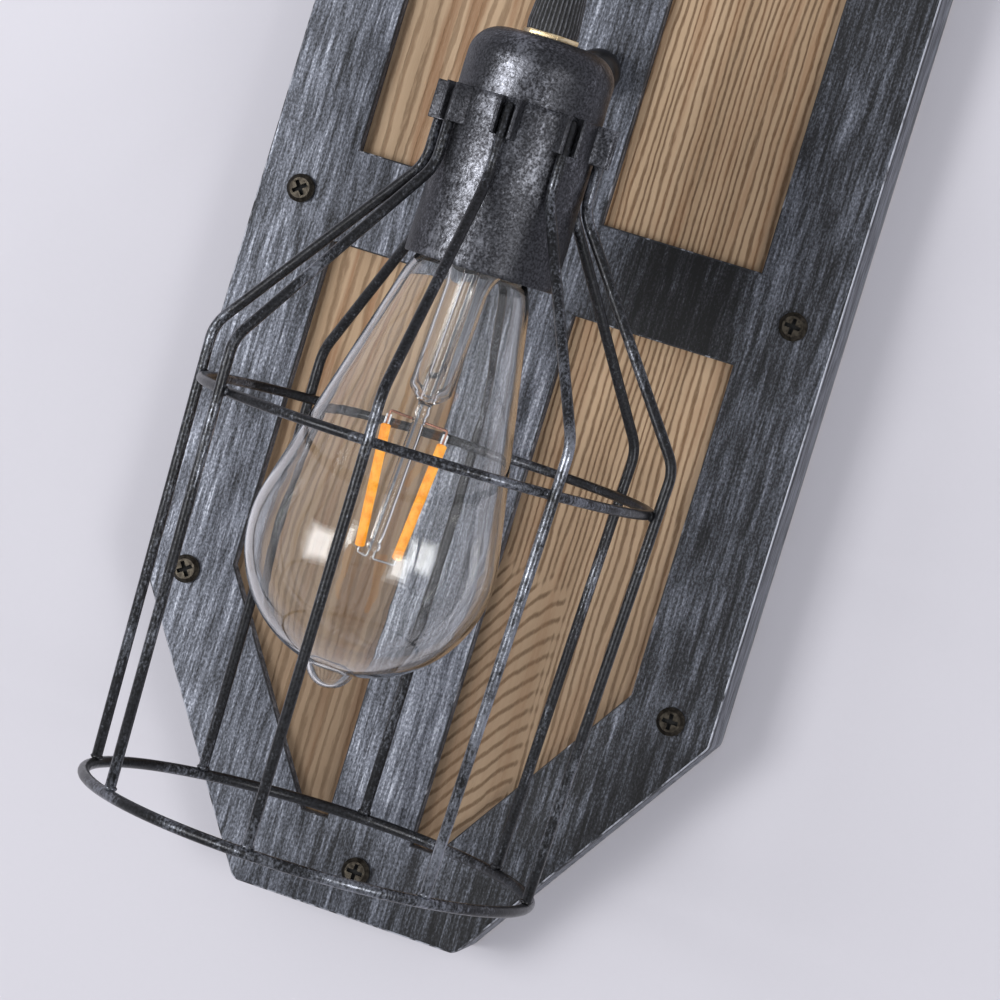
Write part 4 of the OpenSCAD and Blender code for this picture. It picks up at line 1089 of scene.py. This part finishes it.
# %% [markdown]
# ## Cage
#
# Eight wires leave the collar, spread to their shoulders and go down almost straight. A ring
# is welded inside them under the shoulders, and their feet stand on a larger ring. Each wire
# is a circle drawn along its runs and swung round its bends, with small weld beads where it
# meets the rings.

# %% Cage wires and rings
def ring_measures(node):
    """A ring's radius, its height and the radius of its wire."""
    low, high = box_mm(node)
    wire_r = (high.z - low.z) / 2
    return (high.x - low.x) / 2 - wire_r, low.z + wire_r, wire_r


LOWER_RING, UPPER_RING = ring_measures("lower_ring"), ring_measures("upper_ring")
LOWER_RING_R, UPPER_Z = LOWER_RING[0], UPPER_RING[1]
WIRE_R, SHOULDER_R, SHOULDER_Z = 1.4, 62.5, -41.0
FOOT_Z, WIRE_TOP = (corner.z for corner in box_mm("cage_wire_1"))
wire_route = [(WIRE_AXIS_R, WIRE_TOP - 0.6), (WIRE_AXIS_R, WIRE_TOP - 20.2),
              (SHOULDER_R, SHOULDER_Z), (LOWER_RING_R, FOOT_Z + 0.9)]
WIRE_BENDS = (12, 11)


def weld_bead(form, place, size):
    bmesh.ops.create_icosphere(form, subdivisions=2, radius=1,
                               matrix=Matrix.Translation(place) @ Matrix.Diagonal((*size, 1)))


upper_share = (SHOULDER_Z - UPPER_Z) / (SHOULDER_Z - FOOT_Z)
wire_at_ring = SHOULDER_R + (LOWER_RING_R - SHOULDER_R) * upper_share
for i in range(WIRE_COUNT):
    wire_form = bent_wire(wire_route, WIRE_BENDS, WIRE_R, 18, 9)
    weld_bead(wire_form, (LOWER_RING_R - 0.1, 0, FOOT_Z + 0.35), (1.75, 1.9, 0.9))
    weld_bead(wire_form, (wire_at_ring - WIRE_R, 0, UPPER_Z), (0.8, 1.7, 1.5))
    light_piece(f"wire_{i + 1}", wire_form, "lamp", [wire_paint],
                [f"cage_wire_{i + 1}"],
                place=on_axis @ Matrix.Rotation(wire_angle(i), 4, "Z"), crisp=60)
for name, measures, node in (("ring_above", UPPER_RING, "upper_ring"),
                             ("ring_below", LOWER_RING, "lower_ring")):
    light_piece(name, wire_ring(*measures), "lamp", [wire_paint], [node],
                place=on_axis)

# %% [markdown]
# ## Porcelain insert
#
# Inside the collar stands the white porcelain that takes the bulb. It shows at the collar's
# mouth once the bulb is out: a thick glazed ring with rounded lips round the thread shell.

# %% Insert
insert_low, insert_high = box_mm("porcelain_insert")
INSERT_R, BORE_R, INSERT_BORE = (insert_high.x - insert_low.x) / 2, 15.2, 25.5
insert_form = turned(
    [(BORE_R, insert_low.z + INSERT_BORE), (BORE_R, insert_low.z + 2)]
    + arc((BORE_R + 0.8, insert_low.z + 0.8), 0.8, 180, 270, 4)
    + arc((INSERT_R - 0.6, insert_low.z + 0.6), 0.6, 270, 360, 4)
    + arc((INSERT_R - 1.0, insert_high.z - 1.0), 1.0, 0, 90, 5)
    + [(0, insert_high.z)], 96)
bmesh.ops.contextual_create(insert_form, geom=[e for e in insert_form.edges if e.is_boundary])
light_piece("porcelain_body", insert_form, "lamp", [porcelain],
            ["porcelain_insert"], place=on_axis)

# %% [markdown]
# ## Bulb
#
# The bulb is a clear pear of thin glass with the pinched tip of its pumping tube at the foot.
# Its wall is one outline that goes down outside and comes back up inside, so that it bends
# light as real glass does. The base is rolled sheet, and its thread is one wave of the
# outline, spun several times while it climbs.

# %% Glass finish
PASSED_LIGHT = 0.92


def clear_glass(name, tint):
    """Glass that lets light through to what is behind it instead of shading it."""
    glass = Finish(name, Roughness=0.0, Transmission_Weight=1.0, IOR=1.45)
    spot = glass.place()
    ripples = glass.noise(spot, 0.05, 2.0)
    film = glass.noise(spot, 0.3, 3.0)
    glass.set(Base_Color=glass.mix(film, tint, (1, 1, 1)), Roughness=film * 0.02)
    glass.bump(ripples, 0.6, 0.5)
    shade = glass.reading("ShaderNodeLightPath", "Is Shadow Ray").max(
        glass.reading("ShaderNodeLightPath", "Is Diffuse Ray"))
    glass.see_through(shade * PASSED_LIGHT)
    return glass


bulb_glass = clear_glass("bulb_glass", (0.965, 0.97, 0.955))
stem_glass = clear_glass("stem_glass", (0.95, 0.95, 0.95))

# %% Glass
GLASS_R, BALL_Z, FLANK, GLASS_T = 32.4, -104.0, 13.1, 0.8
BASE_R, BASE_LEN, NECK_Z = 13.2, 26.5, -35.0
NIB_R, BULB_LEN = 6.5, 141.0


def glass_wall(inset):
    """The wall's outline from the tip up to the rim, moved in by the wall's thickness."""
    radius = GLASS_R - inset
    nib = NIB_R - inset
    nib_z = -BULB_LEN + NIB_R
    apart = nib_z - BALL_Z
    meet_z = (radius ** 2 - nib ** 2 + apart ** 2) / (2 * apart)
    start = degrees(asin(meet_z / radius))
    nib_end = degrees(asin((meet_z - apart) / nib))
    flank = radians(FLANK)
    turn_z = BALL_Z + radius * sin(flank)
    neck_r = radius * cos(flank) - (NECK_Z - turn_z) * tan(flank)
    rim = (BASE_R + 0.1 - inset, -BASE_LEN - inset)
    pull = (neck_r - 5.8 * tan(flank), NECK_Z + 5.8)
    points = arc((0, nib_z), nib, -90, nib_end, 10)[:-1]
    points += arc((0, BALL_Z), radius, start, FLANK, 40)
    points += [(neck_r + (radius * cos(flank) - neck_r) * (1 - i / 8),
                turn_z + (NECK_Z - turn_z) * i / 8) for i in range(1, 8)]
    points += [((1 - t) ** 2 * neck_r + 2 * t * (1 - t) * pull[0] + t * t * rim[0],
                (1 - t) ** 2 * NECK_Z + 2 * t * (1 - t) * pull[1] + t * t * rim[1])
               for t in (i / 8 for i in range(9))]
    return points


glass_rim = [(BASE_R - 1.4, -BASE_LEN + 0.3), (BASE_R - 1.4, -BASE_LEN + 5),
             (BASE_R - 2.2, -BASE_LEN + 5), (BASE_R - 2.2, -BASE_LEN)]
pear_form = turned(glass_wall(0) + glass_rim + glass_wall(GLASS_T)[::-1], 128)
light_piece("clear_pear", pear_form, "bulb", [bulb_glass], ["bulb_glass"],
            place=in_bulb, crisp=60)

# %% Stem, rod and filaments
STEM_R, STEM_LEN, EXHAUST_R = 5.6, 69.4, 2.1
PINCH_R, PINCH_LEN, NARROWING = 1.9, 5.4, 3.8
ROD_R, ROD_LEN = 1.7, 104.0
FILAMENT_R, FILAMENT_TOP, FILAMENT_FOOT = 1.3, 72.4, 104.0
FILAMENT_TOP_X, FILAMENT_FOOT_X, FILAMENT_SHIFT = 7.8, 5.1, 1.6
flare_z = -BASE_LEN + 2

pinch_top = PINCH_LEN - STEM_LEN
wide_z = pinch_top + NARROWING
stem_outline = (
    [(0, -STEM_LEN), (PINCH_R - 0.3, -STEM_LEN), (PINCH_R, -STEM_LEN + 0.4),
     (PINCH_R - 0.4, -STEM_LEN + 1.6), (PINCH_R, -STEM_LEN + 2.8),
     (PINCH_R - 0.3, -STEM_LEN + 4.0), (PINCH_R, pinch_top)]
    + [(STEM_R - (STEM_R - PINCH_R) * (1 - t) ** 1.6, pinch_top + NARROWING * t)
       for t in (0.25, 0.5, 0.75, 1)]
    + [(STEM_R, flare_z - 9), (STEM_R + 0.5, flare_z - 6), (STEM_R + 1.6, flare_z - 3),
       (10.4, flare_z), (9.7, flare_z + 0.3), (STEM_R + 0.9, flare_z - 2.7),
       (STEM_R - 0.2, flare_z - 5.8), (STEM_R - 0.7, flare_z - 9),
       (STEM_R - 0.7, wide_z + 0.2), (STEM_R - 1.6, wide_z - 0.8),
       (EXHAUST_R + 0.4, pinch_top + 1.6), (EXHAUST_R, pinch_top + 3), (EXHAUST_R, flare_z + 6),
       (EXHAUST_R - 0.7, flare_z + 6), (EXHAUST_R - 0.7, pinch_top + 1.4), (0, pinch_top + 0.6)])
light_piece("flared_stem", turned(stem_outline, 64), "bulb", [stem_glass],
            ["glass_stem"], place=in_bulb, crisp=50)
rod_outline = ([(0, -ROD_LEN)] + arc((ROD_R - 1.1, -ROD_LEN + 1.3), 1.3, -90, 40, 8)
               + [(ROD_R - 0.15, -ROD_LEN + 3.2), (ROD_R, -ROD_LEN + 4.6),
                  (ROD_R, -STEM_LEN - 0.5), (ROD_R * 0.8, -STEM_LEN), (0, -STEM_LEN)])
light_piece("clear_rod", turned(rod_outline, 24), "bulb", [stem_glass],
            ["glass_rod"], place=in_bulb)


def glowing_filament():
    glow = Finish("glowing_filament", Roughness=0.6, Emission_Strength=1.0)
    spot = glow.place()
    cloud = glow.noise(spot, 0.35, 2.0)
    grain = glow.noise(spot, 2.2, 2.0)
    hot = (cloud * 0.8 + grain * 0.2).ramp(0.35, 0.65)
    glow.set(Base_Color=glow.mix(hot, srgb(90, 48, 6), srgb(112, 64, 10)),
             Emission_Color=glow.mix(hot, srgb(240, 146, 22), srgb(250, 178, 62)))
    return glow


filament_glow = glowing_filament()
for number, side in ((1, -1), (2, 1)):
    top = Vector((side * FILAMENT_TOP_X, 0, -FILAMENT_TOP))
    foot = Vector((side * FILAMENT_FOOT_X + FILAMENT_SHIFT, 0, -FILAMENT_FOOT))
    length = (foot - top).length
    lying = Matrix.Translation(top) @ (foot - top).to_track_quat("Z", "Y").to_matrix().to_4x4()
    strip_outline = [(0, 0), (0.8, 0), (FILAMENT_R, 0.35), (FILAMENT_R, length - 0.35),
                     (0.8, length), (0, length)]
    light_piece(f"glowing_strip_{number}", turned(strip_outline, 20), "bulb",
                [filament_glow], [f"filament_{number}"], place=in_bulb @ lying)

# %% [markdown]
# The copper wires that feed the strips come out of the stem's pinch, run outwards and drop to
# the strips' tops, where each strip has a flat bright pin. Below, two bright hooks join the
# strips to the end of the rod.

# %% Filament wires
THIN_R = 0.35
FEED_Z = 0.6 - STEM_LEN
PIN_W, PIN_T, PIN_H = 1.5, 0.3, 2.6


def bright(form):
    """Gives a form's faces the piece's second finish."""
    for face in form.faces:
        face.material_index = 1
    return form


def strip_pin(height):
    """The flat bright pin at a strip's end: a sheet with two legs, given a thickness."""
    half, leg = PIN_W / 2, 0.45
    plan = [(-half, 0), (-half, height), (-half + leg, height), (-half + leg, 0.6),
            (half - leg, 0.6), (half - leg, height), (half, height), (half, 0)]
    return bright(sheet_form(plan, PIN_T))


wires_form = bmesh.new()
for side in (-1, 1):
    feed = [(side * (PINCH_R - 0.1), FEED_Z), (side * FILAMENT_TOP_X, FEED_Z),
            (side * FILAMENT_TOP_X, -FILAMENT_TOP)]
    add_form(wires_form, bent_wire(feed, (0.5,), THIN_R, 8, 4))
    add_form(wires_form, strip_pin(PIN_H),
             Matrix.Translation((side * FILAMENT_TOP_X, PIN_T / 2, -FILAMENT_TOP))
             @ facing_front)
    foot_x = side * FILAMENT_FOOT_X + FILAMENT_SHIFT
    hook = [(foot_x, -FILAMENT_FOOT), (foot_x, -FILAMENT_FOOT - 1.4),
            (side * ROD_R / 2, -FILAMENT_FOOT - 1.8), (side * ROD_R / 2, -ROD_LEN)]
    add_form(wires_form, bright(bent_wire(hook, (0.5, 0.5), THIN_R * 0.8, 8, 4)))
light_piece("feed_wires", wires_form, "bulb", [copper, zinc], ["filament_wires"],
            place=in_bulb, crisp=60)

# %% Bulb base
CONTACT_H, INSULATOR_H, PITCH, THREAD_DEPTH = 1.5, 4.0, 3.62, 0.8
base_top = -CONTACT_H - INSULATOR_H


def threaded_base():
    """One wave of the thread, spun while it goes down one pitch a turn, then trimmed."""
    form = bmesh.new()
    wave_steps, turns, round_steps = 10, 5, 64
    half = THREAD_DEPTH / 2
    wave = [form.verts.new((BASE_R - half + half * cos(2 * pi * i / wave_steps), 0,
                            base_top - PITCH * i / wave_steps))
            for i in range(wave_steps + 1)]
    edges = [form.edges.new(pair) for pair in zip(wave, wave[1:])]
    bmesh.ops.spin(form, geom=wave + edges, cent=(0, 0, 0), axis=(0, 0, 1),
                   dvec=(0, 0, -PITCH / round_steps), angle=2 * pi * turns,
                   steps=round_steps * turns, use_merge=False)
    bmesh.ops.remove_doubles(form, verts=form.verts, dist=0.01)
    thread_foot = base_top - 4.5 * PITCH
    for height, outward in ((base_top - PITCH / 2, 1), (thread_foot, -1)):
        cut = bmesh.ops.bisect_plane(form, geom=form.verts[:] + form.edges[:] + form.faces[:],
                                     plane_co=(0, 0, height), plane_no=(0, 0, outward),
                                     clear_outer=True)["geom_cut"]
        rim = edges_in(cut)
        if outward > 0:
            steps = ((0.93, PITCH / 2), (0.9, 0.0))
        else:
            steps = ((1.0, -0.6), (1.0, -BASE_LEN - thread_foot + 0.6))
        for narrow, move in steps:
            rim = drawn(form, rim, (0, 0, move))
            bmesh.ops.scale(form, verts=rim_verts(rim), vec=(narrow, narrow, 1))
    return form


light_piece("rolled_base", threaded_base(), "bulb", [base_metal],
            ["bulb_base"], place=in_bulb, crisp=60)
dress(black_glass, "base_insulator")
dress(solder, "bulb_contact")
